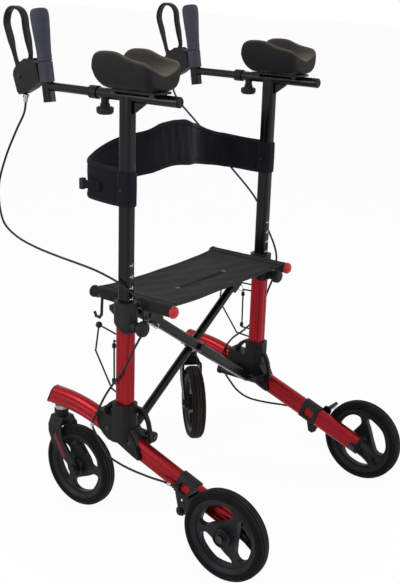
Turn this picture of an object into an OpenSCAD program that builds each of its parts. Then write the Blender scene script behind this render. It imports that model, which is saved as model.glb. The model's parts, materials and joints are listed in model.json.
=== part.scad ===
// Upright walker: a folding four-wheel frame with forearm troughs, a cloth seat and hand brakes.
// Millimetres, real size. +Z is up, +Y is the way it travels, +X is its right side.
// Side parts are drawn for the right side, with +X pointing outward, and mirrored for the left.

/* [Wheels] */
// Diameter of the fixed rear wheels over the tyre
rear_d = 200; // [160:1:220]
// Diameter of the swivelling front wheels over the tyre
front_d = 194; // [160:1:200]
// Width of every tyre
tyre_w = 36; // [28:1:40]
// Height of the tyre's rubber over the rim
tyre_h = 18; // [14:1:24]
// Diameter of the wheel axles
axle_d = 10; // [8:0.5:12]
// Place of the rear axle along the frame
axle_y = -277; // [-300:1:-260]
// Place of the swivel stem along the frame
stem_y = 228; // [222:1:232]
// Distance that the front axle trails behind its stem
trail = 61; // [54:1:64]
// Height of the fork from the underside of its crown to its top
fork_rise = 41; // [38:0.5:46]
// Rest direction of the left front wheel, counted from straight back
left_turn = 1; // [-180:0.5:180]
// Rest direction of the right front wheel, counted from straight back
right_turn = 43; // [-180:0.5:180]

/* [Side bars] */
// Distance of each bar from the middle of the walker
bar_x = 255; // [245:1:265]
// Width of the bar's section
bar_w = 26; // [24:0.5:30]
// Height of the bar's section
bar_h = 46; // [42:0.5:50]
// Wall of the bar
bar_wall = 2.5; // [2:0.1:3]
// Place where the level part and the slope would meet
bend_y = 154; // [146:1:160]
// Height of the bar's middle over the rear axle
axle_rise = 4.9; // [0:0.1:8]
// Radius of the bend between them
bend_r = 370; // [350:5:390]
// Front end of the bar
bar_front = 247; // [244:1:254]
// Lean of the bar's cut front end
end_lean = 25; // [0:1:30]

/* [Uprights] */
// Distance of the uprights from the middle of the walker
post_x = 259; // [257:0.5:261]
// Place of the uprights along the frame
post_y = 27; // [22:1:30]
// Wall of the outer tube, under its flutes
tube_wall = 2; // [1.5:0.1:2.4]
// Top of the outer tube
tube_top = 515; // [500:1:522]
// Width of the sliding post
post_w = 24; // [22:0.5:26]
// Depth of the sliding post
post_d = 30; // [27:0.5:32]
// Wall of the sliding post
post_wall = 2; // [1.5:0.1:2.5]

/* [Arms] */
// Height of the arm tubes
arm_z = 958; // [940:1:985]
// Diameter of the outer arm tube
arm_od = 22; // [21:0.5:25]
// Diameter of the sliding inner tube
inner_od = 18; // [16:0.5:18]
// Rear end of the arm tube
arm_rear = -102; // [-115:1:-90]
// Front end of the arm tube
arm_front = 112; // [106:1:116]
// Foot of the hand post, along the walker
hand_y = 242; // [236:1:250]
// Forward lean of the hand post
hand_lean = 8.7; // [5:0.1:12]
// Length of the grip
grip_l = 108; // [100:1:120]
// Width of a forearm trough
pad_w = 108; // [100:1:116]
// Rear end of the trough
pad_rear = -70; // [-76:1:-60]
// Front end of the trough
pad_front = 81; // [74:1:86]

/* [Cross brace] */
// Distance of the brace's lower pivots from the middle of the walker
pivot_x = 215; // [213:0.5:217]
// Height of the lower pivots
pivot_z = 212; // [209:1:215]
// Distance of the brace's upper pivots from the middle of the walker
top_x = 196; // [192:0.5:198]
// Height of the crossing bolt
cross_z = 355; // [351:1:358]
// Diameter of the round cross bar
round_d = 20; // [17:0.5:20]
// Depth of the flat cross bar
flat_d = 17; // [14:0.5:18]
// Height of the flat cross bar
flat_h = 24; // [20:0.5:28]
// Place of the plane where the two bars meet
brace_y = 32; // [31:0.5:33]

/* [Seat] */
// Distance of the seat rails from the middle of the walker
rail_x = 223; // [220:0.5:224]
// Height of the seat rails
rail_z = 518; // [515:1:522]
// Diameter of the seat rails
rail_d = 22; // [20:0.5:22]
// Rear end of a seat rail, without its cap
rail_rear = -72; // [-80:1:-60]
// Front end of a seat rail, without its cap
rail_front = 148; // [140:1:152]
// Thickness of the seat cloth
cloth_t = 2.6; // [1.5:0.1:3]
// Depth that the seat cloth hangs in the middle
seat_sag = 9; // [4:0.5:14]

/* [Fits] */
// Gap between the post and the outer tube's bore
tube_gap = 0.45; // [0.35:0.05:0.7]
// Gap around a sliding tube
slide_gap = 0.3; // [0.2:0.05:0.4]
// Gap around a turning shaft
run_gap = 0.06; // [0.03:0.01:0.08]
// Gap around a piece that is pushed on
seat_gap = 0.15; // [0.05:0.05:0.2]
// Gap between faces that pass each other
pass_gap = 0.6; // [0.4:0.1:0.8]

/* [Node] */
// Piece to make, or all

/* [Hidden] */
$fn = 48;
red = "#c8202c";
black = "#202225";
grey = "#3a3c40";
steel = "#b8babd";
cloth = "#45474b";
navy = "#1c2030";

// Wheels and fork
rear_r = rear_d / 2;
front_r = front_d / 2;
axle_z = rear_r;
fork_in = tyre_w / 2 + 3;
fork_t = 6;
tyre_gap = 3;
crown_z = front_r + sqrt(front_r * front_r - trail * trail) + 9;
stem_d = 16;
stem_l = 36;
bearing_h = 9;

// Path of a side bar: its front part rests on the fork's bearing, and its slope leads to the rear axle.
// Its height is kept to whole millimetres and its slope to tenths of a degree.
bar_level = round(crown_z + fork_rise + pass_gap + bearing_h + bar_h / 2);
bar_base = bar_level - bar_h / 2;
fork_top = bar_base - bearing_h - pass_gap;
bar_slope = round(10 * atan2(bar_level - axle_z - axle_rise, bend_y - axle_y)) / 10;
bend_len = bend_r * tan(bar_slope / 2);
bend_y0 = bend_y + bend_len;
bend_y1 = bend_y0 - bend_r * sin(bar_slope);
bend_z1 = bar_level - bend_r * (1 - cos(bar_slope));
function slope_z(y) = bend_z1 - (bend_y1 - y) * tan(bar_slope);
bar_rear = axle_y - 8;
slope_len = (bend_y1 - bar_rear) / cos(bar_slope);
bar_out = bar_x + bar_w / 2;
bar_in = bar_x - bar_w / 2;

// Wheels beside the bar, and the swivel stem under it
hub_w = tyre_w + 4;
hub_gap = 6;
rear_x = bar_out + hub_gap + hub_w / 2;
stem_x = bar_x - 5;

// Uprights
tube_floor = slope_z(post_y) + bar_h / 2 + 10;
flute = 0.8;
tube_in_w = post_w + 2 * tube_gap;
tube_in_d = post_d + 2 * tube_gap;
tube_w = tube_in_w + 2 * (tube_wall + flute);
tube_d = tube_in_d + 2 * (tube_wall + flute);
tube_r = 8.5;
post_r = 6;
socket_w = tube_w + 14;
socket_d = tube_d + 14;
socket_top = 297;
clamp_w = tube_w + 12;
clamp_d = tube_d + 12;
clamp_z0 = tube_top - 50;
clamp_z1 = tube_top + 15;
post_z0 = tube_top - 165;
knob_z = tube_top - 36;
knob_x = post_x + 3;

// Arms
arm_id = inner_od + 2 * slide_gap;
plate_z = arm_z + arm_od / 2;
plate_t = 4;
pad_z = plate_z + plate_t;
reach_y = arm_front - 25;
bolt_x = 19;
bolt_rows = [pad_rear + 20, pad_front - 32];
collar_front = arm_front + 12;
hand_z = arm_z - 33;
grip_z0 = 82;
lever_y = hand_y + 80;
lever_z = arm_z + 14;

// Brace and seat
brace_len = sqrt(pivot_x * pivot_x + (cross_z - pivot_z) * (cross_z - pivot_z));
brace_angle = atan2(cross_z - pivot_z, pivot_x);
top_len = top_x / cos(brace_angle);
top_z = cross_z + top_x * tan(brace_angle);
pin_d = 10;
sleeve_d = 21;
sleeve_y0 = -14;
sleeve_y1 = 100;
flat_y = brace_y - 0.5 - flat_d / 2;
round_y = brace_y + 0.5 + round_d / 2;
wrap_r = rail_d / 2 + cloth_t;

// Brakes
clip_y = -150;
clip_l = 46;
arm_pivot = [clip_y + 4, slope_z(clip_y + 4) - 51];
shoe_gap = 5.3;
shoe_t = 9;
shoe_angle = 33;
shoe_r = rear_r + shoe_gap + shoe_t / 2;
shoe = [axle_y + shoe_r * cos(shoe_angle), axle_z + shoe_r * sin(shoe_angle)];

// Shapes drawn flat
module rrect(w, h, r) {
  square([w - 2 * r, h], center = true);
  square([w, h - 2 * r], center = true);
  for (i = [-1, 1], j = [-1, 1])
    translate([i * (w / 2 - r), j * (h / 2 - r)]) circle(r = r);
}

module bar_shape(g = 0) {
  rrect(bar_w + 2 * g, bar_h + 2 * g, bar_w / 2 - 1.5 + g);
}

module fluted_bar_shape() {
  difference() {
    bar_shape();
    for (i = [-1, 1], j = [-7, 7]) translate([i * (bar_w / 2 + 1.2), j]) circle(r = 2.2);
  }
}

module fluted_tube_shape() {
  difference() {
    rrect(tube_w, tube_d, tube_r);
    for (i = [-1, 1], j = [-4.5, 4.5]) translate([i * (tube_w / 2 + 1.2), j]) circle(r = 2);
    for (j = [-1, 1]) translate([0, j * (tube_d / 2 + 1.2)]) circle(r = 2);
  }
}

// A straight rod between two points, and a wire along a list of points
module rod(a, b, d) {
  v = b - a;
  l = norm(v);
  translate(a) rotate([0, acos(v[2] / l), atan2(v[1], v[0])]) cylinder(h = l, d = d, $fn = 24);
}

module wire(pts, d) {
  for (i = [0 : len(pts) - 2]) rod(pts[i], pts[i + 1], d);
  for (i = [1 : len(pts) - 2]) translate(pts[i]) sphere(d = 1.16 * d, $fn = 24);
}

// A smooth curve through points, and a tube that is swept along a list of points
function blend4(a, b, c, d, t) =
  0.5 * (2 * b + (c - a) * t + (2 * a - 5 * b + 4 * c - d) * t * t + (3 * b - a - 3 * c + d) * t * t * t);
function curve(p, n) = [
  for (i = [0 : len(p) - 2], k = [0 : n - 1])
    blend4(p[max(i - 1, 0)], p[i], p[i + 1], p[min(i + 2, len(p) - 1)], k / n),
  p[len(p) - 1]
];
function closed_curve(p, n) = [
  for (i = [0 : len(p) - 1], k = [0 : n - 1])
    blend4(p[(i + len(p) - 1) % len(p)], p[i], p[(i + 1) % len(p)], p[(i + 2) % len(p)], k / n)
];
function unit(v) = v / norm(v);
function ahead(p, i) = unit(p[min(i + 1, len(p) - 1)] - p[max(i - 1, 0)]);
function tube_ring(p, i, r, s, ref) =
  let (t = ahead(p, i), a = unit(cross(t, ref)), b = cross(t, a))
    [for (k = [0 : s - 1]) p[i] + r * (cos(360 * k / s) * a + sin(360 * k / s) * b)];
function ring_faces(n, s) = [
  for (i = [0 : n - 2], k = [0 : s - 1])
    [(i + 1) * s + k, (i + 1) * s + (k + 1) % s, i * s + (k + 1) % s, i * s + k]
];

module rings(list) {
  n = len(list);
  s = len(list[0]);
  polyhedron(
    points = [for (a = list) for (b = a) b],
    faces = concat(
      ring_faces(n, s),
      [[for (k = [0 : s - 1]) k], [for (k = [s - 1 : -1 : 0]) (n - 1) * s + k]]
    ),
    convexity = 8
  );
}

module swept(p, d, ref = [1, 0, 0]) {
  rings([for (i = [0 : len(p) - 1]) tube_ring(p, i, d / 2, 8, ref)]);
}

// The left side is the right side's mirror image
module left() {
  mirror([1, 0, 0]) children();
}

// Side bar: a level front part, a bend and a sloping rear part
module bar_solid(a, b) {
  translate([bar_x, bar_front + 20 + a, bar_level]) rotate([90, 0, 0])
    linear_extrude(bar_front + 20 + a - bend_y0) children();
  translate([bar_x, bend_y0, bar_level - bend_r]) rotate([0, 0, 180]) rotate([0, -90, 0])
    rotate_extrude(angle = bar_slope, $fn = 180) translate([bend_r, 0]) rotate(90) children();
  translate([bar_x, bend_y1, bend_z1]) rotate([90 + bar_slope, 0, 0])
    linear_extrude(slope_len + b) children();
}

// The weld where the bend meets the slope, hidden inside the corner bracket
module bar_weld(g) {
  translate([bar_x, bend_y1, bend_z1]) rotate([90 + bar_slope, 0, 0]) translate([0, 0, -1.5])
    linear_extrude(3) bar_shape(g);
}

// The hollow inside the bar, with a web at each end of the bend
module bar_hollow() {
  translate([bar_x, bar_front + 21, bar_level]) rotate([90, 0, 0])
    linear_extrude(bar_front + 19 - bend_y0) children();
  translate([bar_x, bend_y0, bar_level - bend_r]) rotate([0, 0, 180]) rotate([0, -90, 0])
    rotate(0.4) rotate_extrude(angle = bar_slope - 0.9, $fn = 180)
      translate([bend_r, 0]) rotate(90) children();
  translate([bar_x, bend_y1, bend_z1]) rotate([90 + bar_slope, 0, 0]) translate([0, 0, 3])
    linear_extrude(slope_len) children();
}

module bar_holes() {
  for (p = bracket_screws) translate([bar_in - 30, p[0], p[1]]) rotate([0, 90, 0])
    cylinder(h = bar_w + 60, d = 6 + 2 * seat_gap);
  translate([bar_in - 30, axle_y, axle_z]) rotate([0, 90, 0])
    cylinder(h = bar_w + 60, d = axle_d + 2 * seat_gap);
  translate([stem_x, stem_y, bar_base - 20]) cylinder(h = bar_h, d = 21 + 2 * seat_gap);
}

bracket_screws = [[2, slope_z(2) + 10], [66, slope_z(66) + 4]];

// A slab at the bar's leaning front end, between two distances from the cut
module front_slab(a, b) {
  translate([bar_x - 30, bar_front, bar_level]) rotate([end_lean, 0, 0]) translate([0, a, -60])
    cube([60, b - a, 120]);
}

module side_bar() {
  color(red) difference() {
    union() {
      bar_solid(0, 0) fluted_bar_shape();
      bar_weld(0.08);
    }
    front_slab(0, 80);
    bar_hollow() bar_shape(-bar_wall - 1.2);
    bar_holes();
  }
}

// Plugs at the two ends of a bar; the rear one carries the kerb pedal
module bar_end_caps() {
  color(black) {
    intersection() {
      front_slab(0.02, 2.5);
      translate([bar_x, bar_front + 40, bar_level]) rotate([90, 0, 0]) linear_extrude(80) bar_shape(0.3);
    }
    intersection() {
      front_slab(-7, 1);
      translate([bar_x, bar_front + 40, bar_level]) rotate([90, 0, 0]) linear_extrude(80)
        bar_shape(-bar_wall - 1.5);
    }
    translate([bar_x, bar_rear, slope_z(bar_rear)]) rotate([bar_slope, 0, 0]) {
      rotate([90, 0, 0]) translate([0, 0, 0.02]) linear_extrude(7) bar_shape();
      translate([0, 0.5, 0]) rotate([90, 0, 0]) linear_extrude(6) bar_shape(-bar_wall - 1.5);
      translate([-9, 0, 0]) rotate([90, 0, 90]) linear_extrude(18) difference() {
        polygon([
          [-6, 12], [-18, 8], [-34, 0], [-50, -10], [-60, -18], [-63, -23], [-61, -27],
          [-54, -27], [-40, -21], [-24, -17], [-6, -16]
        ]);
        polygon([[-13, 3], [-20, 1], [-34, -7], [-43, -13], [-37, -14.5], [-24, -11], [-13, -10]]);
      }
    }
  }
}

// Moulded bracket that joins the upright to the bar and holds the brace's pin
module bracket_outline() {
  polygon([
    [96, slope_z(96) + 31], [98, slope_z(96) + 8], [92, slope_z(92) - 8], [78, slope_z(78) - 18],
    [64, slope_z(64) - 22], [50, slope_z(50) - 19], [36, slope_z(36) - 13], [16, slope_z(16) - 15],
    [-8, slope_z(-8) - 17], [-22, slope_z(-22) - 17], [-29, slope_z(-29) - 12], [-27, slope_z(-27) - 3],
    [-21, slope_z(-21) + 15], [-11, slope_z(-11) + 30], [0, slope_z(0) + 40], [50, slope_z(50) + 40],
    [70, slope_z(70) + 37]
  ]);
}

module corner_bracket() {
  cheek = bar_w / 2 + 5;
  color(black) difference() {
    union() {
      translate([bar_x - cheek, 0, 0]) rotate([90, 0, 90]) linear_extrude(2 * cheek) bracket_outline();
      translate([post_x, post_y, slope_z(post_y)]) linear_extrude(socket_top - slope_z(post_y))
        rrect(socket_w, socket_d, 15);
      // the rib that runs from the socket to the bracket's rear tip
      translate([bar_x + cheek - 1, 0, 0]) rotate([90, 0, 90]) linear_extrude(3.5) polygon([
        [4, slope_z(4) + 37], [-9, slope_z(-9) + 28], [-19, slope_z(-19) + 13], [-25, slope_z(-25) - 3],
        [-26, slope_z(-26) - 10], [-20, slope_z(-20) - 14], [-14, slope_z(-14) - 9], [-8, slope_z(-8) + 2],
        [4, slope_z(4) + 19]
      ]);
      // the arch in front of the socket and the fin behind it
      translate([bar_x - 7, 0, 0]) rotate([90, 0, 90]) linear_extrude(14) polygon([
        [post_y + 20, socket_top - 1], [post_y + 28, socket_top - 2], [62, 292], [72, 284], [80, 274],
        [86, 262], [78, 262], [73, 270], [66, 278], [57, 285], [post_y + 20, 289]
      ]);
      translate([bar_in - 8, 0, 0]) rotate([90, 0, 90]) linear_extrude(9) polygon([
        [post_y - 8, 286], [-6, 284], [-18, 274], [-26, 258], [-31, 238], [-34, slope_z(-34) + 21],
        [-26, slope_z(-26) + 21], [-24, 238], [-19, 256], [-12, 268], [post_y - 8, 275]
      ]);
      // lugs that hold the pin of the cross brace
      for (y = [sleeve_y0 - 8, sleeve_y1 + 1]) translate([0, y, 0]) {
        translate([pivot_x, 0, pivot_z]) rotate([-90, 0, 0]) cylinder(h = 7, d = 24);
        translate([pivot_x, 0, pivot_z - 11]) cube([bar_in - pivot_x + 1, 7, 22]);
      }
      translate([bar_in - 5, sleeve_y1 - 20, pivot_z - 11])
        cube([4.8, 28, max(40, slope_z(sleeve_y1) - pivot_z + 15)]);
      translate([bar_in - 5, sleeve_y0 - 8, pivot_z - 11])
        cube([4.8, 30, max(22, slope_z(sleeve_y0) - pivot_z + 11)]);
    }
    bar_solid(1, 1) bar_shape(seat_gap);
    translate([post_x, post_y, tube_floor]) linear_extrude(200)
      rrect(tube_w + 2 * seat_gap, tube_d + 2 * seat_gap, tube_r + seat_gap);
    bar_holes();
    for (p = bracket_screws) translate([bar_x + cheek - 2, p[0], p[1]]) rotate([0, 90, 0])
      cylinder(h = 5, d = 15);
    translate([pivot_x, sleeve_y0 - 20, pivot_z]) rotate([-90, 0, 0])
      cylinder(h = sleeve_y1 - sleeve_y0 + 40, d = pin_d + 2 * seat_gap);
  }
}

module upright_tube() {
  color(red) difference() {
    translate([post_x, post_y, tube_floor]) linear_extrude(tube_top - tube_floor) fluted_tube_shape();
    translate([post_x, post_y, tube_floor - 1]) linear_extrude(tube_top - tube_floor + 2)
      rrect(tube_in_w, tube_in_d, tube_r - 2);
    translate([knob_x, post_y, knob_z]) rotate([90, 0, 0]) cylinder(h = 40, d = 9.5);
  }
}

// Collar on top of the upright: guides the post, takes the height knob, carries the seat rail at rest
module clamp_head() {
  cradle_y = round_y + round_d / 2 + pass_gap + 6.5;
  color(grey) difference() {
    union() {
      translate([post_x, post_y, clamp_z0]) linear_extrude(clamp_z1 - clamp_z0)
        rrect(clamp_w, clamp_d, 16);
      translate([knob_x, post_y - clamp_d / 2 + 6, knob_z]) rotate([90, 0, 0]) cylinder(h = 17, d = 23);
      translate([rail_x - 17, cradle_y, clamp_z1 - 40]) cube([post_x - rail_x + 12, 12, 22]);
      translate([post_x - clamp_w / 2 + 6, post_y + 10, clamp_z1 - 40]) cube([18, cradle_y + 2 - post_y, 22]);
    }
    translate([post_x, post_y, clamp_z0 - 1]) linear_extrude(tube_top - clamp_z0 + 1)
      rrect(tube_w + 2 * seat_gap, tube_d + 2 * seat_gap, tube_r + seat_gap);
    translate([post_x, post_y, clamp_z0]) linear_extrude(100)
      rrect(post_w + 2 * slide_gap, post_d + 2 * slide_gap, post_r + slide_gap);
    translate([knob_x, post_y, knob_z]) rotate([90, 0, 0]) cylinder(h = 60, d = 8 + 2 * run_gap);
    // the underside slopes up towards the front
    translate([post_x - 60, post_y - 8, clamp_z0]) rotate([35, 0, 0]) translate([0, 0, -60])
      cube([120, 90, 60]);
    translate([rail_x, cradle_y - 20, rail_z]) rotate([-90, 0, 0]) cylinder(h = 60, r = wrap_r + slide_gap);
  }
}

// Axle bolt, brace pin, stem bearing and bracket screws
module frame_fasteners() {
  color(steel) {
    translate([bar_in - 1, axle_y, axle_z]) rotate([0, 90, 0])
      cylinder(h = rear_x + hub_w / 2 + 2 - bar_in, d = axle_d);
    translate([bar_in - 7, axle_y, axle_z]) rotate([0, 90, 0]) cylinder(h = 6.9, d = 18, $fn = 6);
    translate([bar_in - 1, axle_y, axle_z]) rotate([0, 90, 0]) cylinder(h = 0.9, d = 19);
    translate([rear_x + hub_w / 2 + 0.7, axle_y, axle_z]) rotate([0, 90, 0]) cylinder(h = 5, d = 17);
    translate([bar_out + 0.1, axle_y, axle_z]) rotate([0, 90, 0]) cylinder(h = hub_gap - 0.8, d = 20);
    translate([pivot_x, sleeve_y0 - 10, pivot_z]) rotate([-90, 0, 0])
      cylinder(h = sleeve_y1 - sleeve_y0 + 20, d = pin_d);
    difference() {
      union() {
        translate([stem_x, stem_y, bar_base - bearing_h]) cylinder(h = bearing_h - 0.05, d = 29);
        translate([stem_x, stem_y, bar_base - bearing_h]) cylinder(h = bearing_h + 22, d = 21);
      }
      translate([stem_x, stem_y, bar_base - bearing_h - 1]) cylinder(h = 60, d = stem_d + 2 * run_gap);
    }
    for (p = bracket_screws) translate([bar_in - 12, p[0], p[1]]) rotate([0, 90, 0]) {
      cylinder(h = bar_w + 15.2, d = 6);
      translate([0, 0, bar_w + 15.1]) cylinder(h = 3, d = 12);
    }
  }
}

// Bent wire in front of the upright, with its two clips
module bag_wire() {
  front = post_y + tube_d / 2;
  color(black) {
    wire([[post_x - 5, front + 0.2, 444], [236, 124, 448], [238, 132, 386], [244, 79, 311],
      [post_x - 7, front + 0.2, 305]], 4);
    wire([[post_x - 6, front + 0.2, 428], [post_x - 10, front + 23, 428], [post_x - 10, front + 22, 328],
      [post_x - 6, front + 0.2, 326]], 4);
    for (z = [416, 334]) translate([post_x - 10, front + 23, z]) cylinder(h = 9, d = 9, center = true);
    translate([236, 124, 448]) sphere(d = 15);
  }
}

// Saddle on the bar that carries the brake's pivot
module brake_clip() {
  color(grey) difference() {
    union() {
      translate([bar_x, clip_y + clip_l / 2, slope_z(clip_y + clip_l / 2)]) rotate([90 + bar_slope, 0, 0])
        linear_extrude(clip_l) intersection() {
          bar_shape(4);
          translate([0, 4]) square([100, bar_h], center = true);
        }
      translate([bar_out - 1.5, 0, 0]) rotate([90, 0, 90]) linear_extrude(6) polygon([
        [clip_y + 21, slope_z(clip_y + 21) + 8], [clip_y + 23, slope_z(clip_y + 23) - 20],
        [arm_pivot[0] + 11, arm_pivot[1] + 4], [arm_pivot[0] + 8, arm_pivot[1] - 9],
        [arm_pivot[0] - 2, arm_pivot[1] - 12], [arm_pivot[0] - 11, arm_pivot[1] - 6],
        [clip_y - 10, slope_z(clip_y - 10) - 22], [clip_y - 22, slope_z(clip_y - 22) + 4]
      ]);
      translate([bar_out + 4, arm_pivot[0], arm_pivot[1]]) rotate([0, 90, 0]) cylinder(h = 12, d = 8);
      translate([bar_out + 8, clip_y + 10, slope_z(clip_y + 18) - 3]) rotate([-90, 0, 0])
        cylinder(h = 16, d = 10);
    }
    bar_solid(1, 1) bar_shape(seat_gap);
    // a window through both sides of the saddle, and one in the plate under it
    translate([bar_x - 40, clip_y, slope_z(clip_y) + 2]) rotate([bar_slope, 0, 0]) rotate([90, 0, 90])
      linear_extrude(bar_w / 2 + 44.6) rrect(26, 25, 5);
    translate([bar_out - 3, 0, 0]) rotate([90, 0, 90]) linear_extrude(9) polygon([
      [clip_y + 13, slope_z(clip_y + 13) - 25], [arm_pivot[0] + 4, arm_pivot[1] + 9],
      [arm_pivot[0] - 4, arm_pivot[1] + 10], [clip_y - 4, slope_z(clip_y - 4) - 25]
    ]);
  }
}

// Crank that presses the shoe on the tyre
module brake_arm() {
  color(black) difference() {
    union() {
      translate([bar_out + 5.1, 0, 0]) rotate([90, 0, 90]) linear_extrude(5) polygon([
        [arm_pivot[0] + 11, arm_pivot[1] + 3], [arm_pivot[0] + 6, arm_pivot[1] - 10],
        [arm_pivot[0] - 7, arm_pivot[1] - 9], [arm_pivot[0] - 14, arm_pivot[1] + 4],
        [arm_pivot[0] - 37, arm_pivot[1] + 26], [shoe[0] - 9, shoe[1] - 4], [shoe[0] - 6, shoe[1] + 8],
        [shoe[0] + 8, shoe[1] + 8]
      ]);
      translate([bar_out + 5.1, arm_pivot[0], arm_pivot[1]]) rotate([0, 90, 0]) cylinder(h = 8, d = 17);
      translate([bar_out + 5.1, shoe[0], shoe[1]]) rotate([0, 90, 0]) rotate(31)
        linear_extrude(hub_gap + tyre_w - 2) rrect(20, shoe_t, 4);
    }
    translate([bar_out, arm_pivot[0], arm_pivot[1]]) rotate([0, 90, 0])
      cylinder(h = 30, d = 8 + 2 * run_gap);
  }
}

// Turned knob with a stem, along +Z from its base
module knob(d, h, neck, stem_d, stem_l) {
  translate([0, 0, -stem_l]) cylinder(h = stem_l + 1, d = stem_d);
  rotate_extrude() polygon([
    [0, 0], [d * 0.29, 0], [d * 0.27, neck], [d * 0.42, neck], [d * 0.5, neck + 2.5],
    [d * 0.5, neck + h * 0.55],
    [d * 0.46, neck + h * 0.8], [d * 0.36, neck + h * 0.95], [d * 0.2, neck + h], [0, neck + h]
  ]);
}

module height_knob() {
  base = post_y - clamp_d / 2 - 11 - pass_gap;
  color(grey) difference() {
    translate([knob_x, base, knob_z]) rotate([90, 0, 0])
      knob(34, 17, 6, 8, post_y - post_d / 2 - 0.5 - base);
    for (a = [0 : 45 : 315]) translate([knob_x, base - 7, knob_z]) rotate([90, 0, 0]) rotate(a)
      translate([18.6, 0, 0]) cylinder(h = 30, d = 5);
  }
}

module reach_knob() {
  base = arm_z - arm_od / 2 - 9 - pass_gap;
  color(grey) difference() {
    translate([post_x, reach_y, base]) rotate([180, 0, 0])
      knob(36, 16, 6, 7, arm_z - inner_od / 2 - 0.5 - base);
    for (a = [0 : 45 : 315]) translate([post_x, reach_y, base - 40]) rotate(a)
      translate([19.6, 0, 0]) cylinder(h = 33, d = 5);
  }
}

// Sliding post
module post() {
  color(black) difference() {
    translate([post_x, post_y, post_z0]) linear_extrude(arm_z - post_z0) difference() {
      rrect(post_w, post_d, post_r);
      for (i = [-1, 1]) translate([i * (post_w / 2 + 1.4), 0]) circle(r = 2.2);
    }
    translate([post_x, post_y, post_z0 - 1]) linear_extrude(arm_z - post_z0 - 30)
      rrect(post_w - 2 * post_wall - 1.6, post_d - 2 * post_wall, post_r - 2.5);
    translate([post_x, -200, arm_z]) rotate([-90, 0, 0]) cylinder(h = 400, d = arm_od + 0.1);
  }
}

// Outer arm tube with its gusset, the trough's plate and the reach knob's boss
module arm_tube() {
  color(black) difference() {
    union() {
      translate([post_x, arm_rear, arm_z]) rotate([-90, 0, 0]) cylinder(h = arm_front - arm_rear, d = arm_od);
      translate([post_x - 2, 0, 0]) rotate([90, 0, 90]) linear_extrude(4) polygon([
        [post_y - post_d / 2 - 0.5, arm_z - arm_od / 2 + 1],
        [post_y - post_d / 2 - 34, arm_z - arm_od / 2 + 1],
        [post_y - post_d / 2 - 30, arm_z - arm_od / 2 - 3],
        [post_y - post_d / 2 - 0.5, arm_z - arm_od / 2 - 24]
      ]);
      translate([post_x - 27, bolt_rows[0] - 12, plate_z - 1])
        cube([54, bolt_rows[1] - bolt_rows[0] + 24, plate_t + 1]);
      translate([post_x, reach_y, arm_z - arm_od / 2 - 9]) cylinder(h = 12, d = 17);
    }
    translate([post_x, arm_rear - 1, arm_z]) rotate([-90, 0, 0]) cylinder(h = 400, d = arm_id);
    translate([post_x, reach_y, arm_z - 60]) cylinder(h = 60, d = 7 + 2 * run_gap);
    for (x = [-bolt_x, bolt_x], y = bolt_rows) translate([post_x + x, y, plate_z - 5])
      cylinder(h = 20, d = 6 + 2 * seat_gap);
  }
}

// Front bush and rear plug of the arm tube
module arm_collar() {
  color(black) {
    difference() {
      translate([post_x, arm_front - 8, arm_z]) rotate([-90, 0, 0]) cylinder(h = 20, d = arm_od + 5);
      translate([post_x, arm_front - 20, arm_z]) rotate([-90, 0, 0])
        cylinder(h = 20, d = arm_od + 2 * seat_gap);
      translate([post_x, arm_front - 20, arm_z]) rotate([-90, 0, 0]) cylinder(h = 60, d = arm_id);
    }
    translate([post_x, arm_rear, arm_z]) rotate([90, 0, 0]) rotate_extrude() polygon([
      [0, -14], [arm_id / 2 - seat_gap, -14], [arm_id / 2 - seat_gap, 0], [arm_od / 2, 0], [arm_od / 2, 2],
      [arm_od / 2 - 1.5, 3.5], [arm_od / 2 - 4, 4], [arm_od / 2 - 5, 3], [0, 3]
    ]);
  }
}

// Forearm trough: rounded behind, with walls that rise to a rounded front.
// Each row is the place along it, the wall's height, the floor, the lift of the underside and the width
pad_side = [
  [0, 42, 31, 10, 0.8], [0.02, 49, 33.5, 5.5, 0.885], [0.05, 53.5, 35, 2, 0.945],
  [0.085, 56.5, 35.5, 0, 0.98], [0.105, 57.5, 35.5, 0, 0.99], [0.22, 60, 31, 0, 1], [0.34, 63, 26, 0, 1],
  [0.44, 68, 23, 0, 1], [0.54, 74, 21, 0, 1],
  [0.66, 75, 21, 0, 1], [0.82, 74, 22, 0, 1], [0.86, 72, 23, 3, 1],
  [0.92, 69, 25, 8, 0.99], [0.96, 63, 28, 14, 0.97], [0.985, 56, 31, 20, 0.94], [1, 48, 34, 26, 0.9]
];
function pad_ring(v) =
  let (
    y = pad_rear + v[0] * (pad_front - pad_rear), w = pad_w / 2 * v[4],
    h = v[1], f = v[2], u = v[3], g = h - f
  ) [for (p = [
    [-0.42, u], [-0.7, u + 2], [-0.86, u + 8], [-0.95, max(u + 14, h * 0.35)], [-1, h * 0.7],
    [-0.99, h - 4], [-0.95, h], [-0.89, h], [-0.84, h - 3], [-0.79, f + g * 0.66], [-0.7, f + g * 0.36],
    [-0.52, f + g * 0.14], [-0.26, f + g * 0.03], [0, f], [0.26, f + g * 0.03], [0.52, f + g * 0.14],
    [0.7, f + g * 0.36], [0.79, f + g * 0.66], [0.84, h - 3], [0.89, h], [0.95, h], [0.99, h - 4],
    [1, h * 0.7], [0.95, max(u + 14, h * 0.35)], [0.86, u + 8], [0.7, u + 2], [0.42, u], [0, 1.03 * u]
  ]) [post_x + p[0] * w, y, pad_z + p[1]]];

module forearm_pad() {
  list = [for (v = pad_side) pad_ring(v)];
  color(grey) difference() {
    rings(list);
    for (x = [-bolt_x, bolt_x], y = bolt_rows) translate([post_x + x, y, pad_z - 1])
      cylinder(h = 9, d = 6 + 2 * seat_gap);
  }
}

module pad_bolts() {
  color(steel) for (x = [-bolt_x, bolt_x], y = bolt_rows) translate([post_x + x, y, plate_z - 1]) {
    translate([0, 0, -4.05]) cylinder(h = 4, d = 11);
    translate([0, 0, -1]) cylinder(h = plate_t + 8, d = 6);
  }
}

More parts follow.
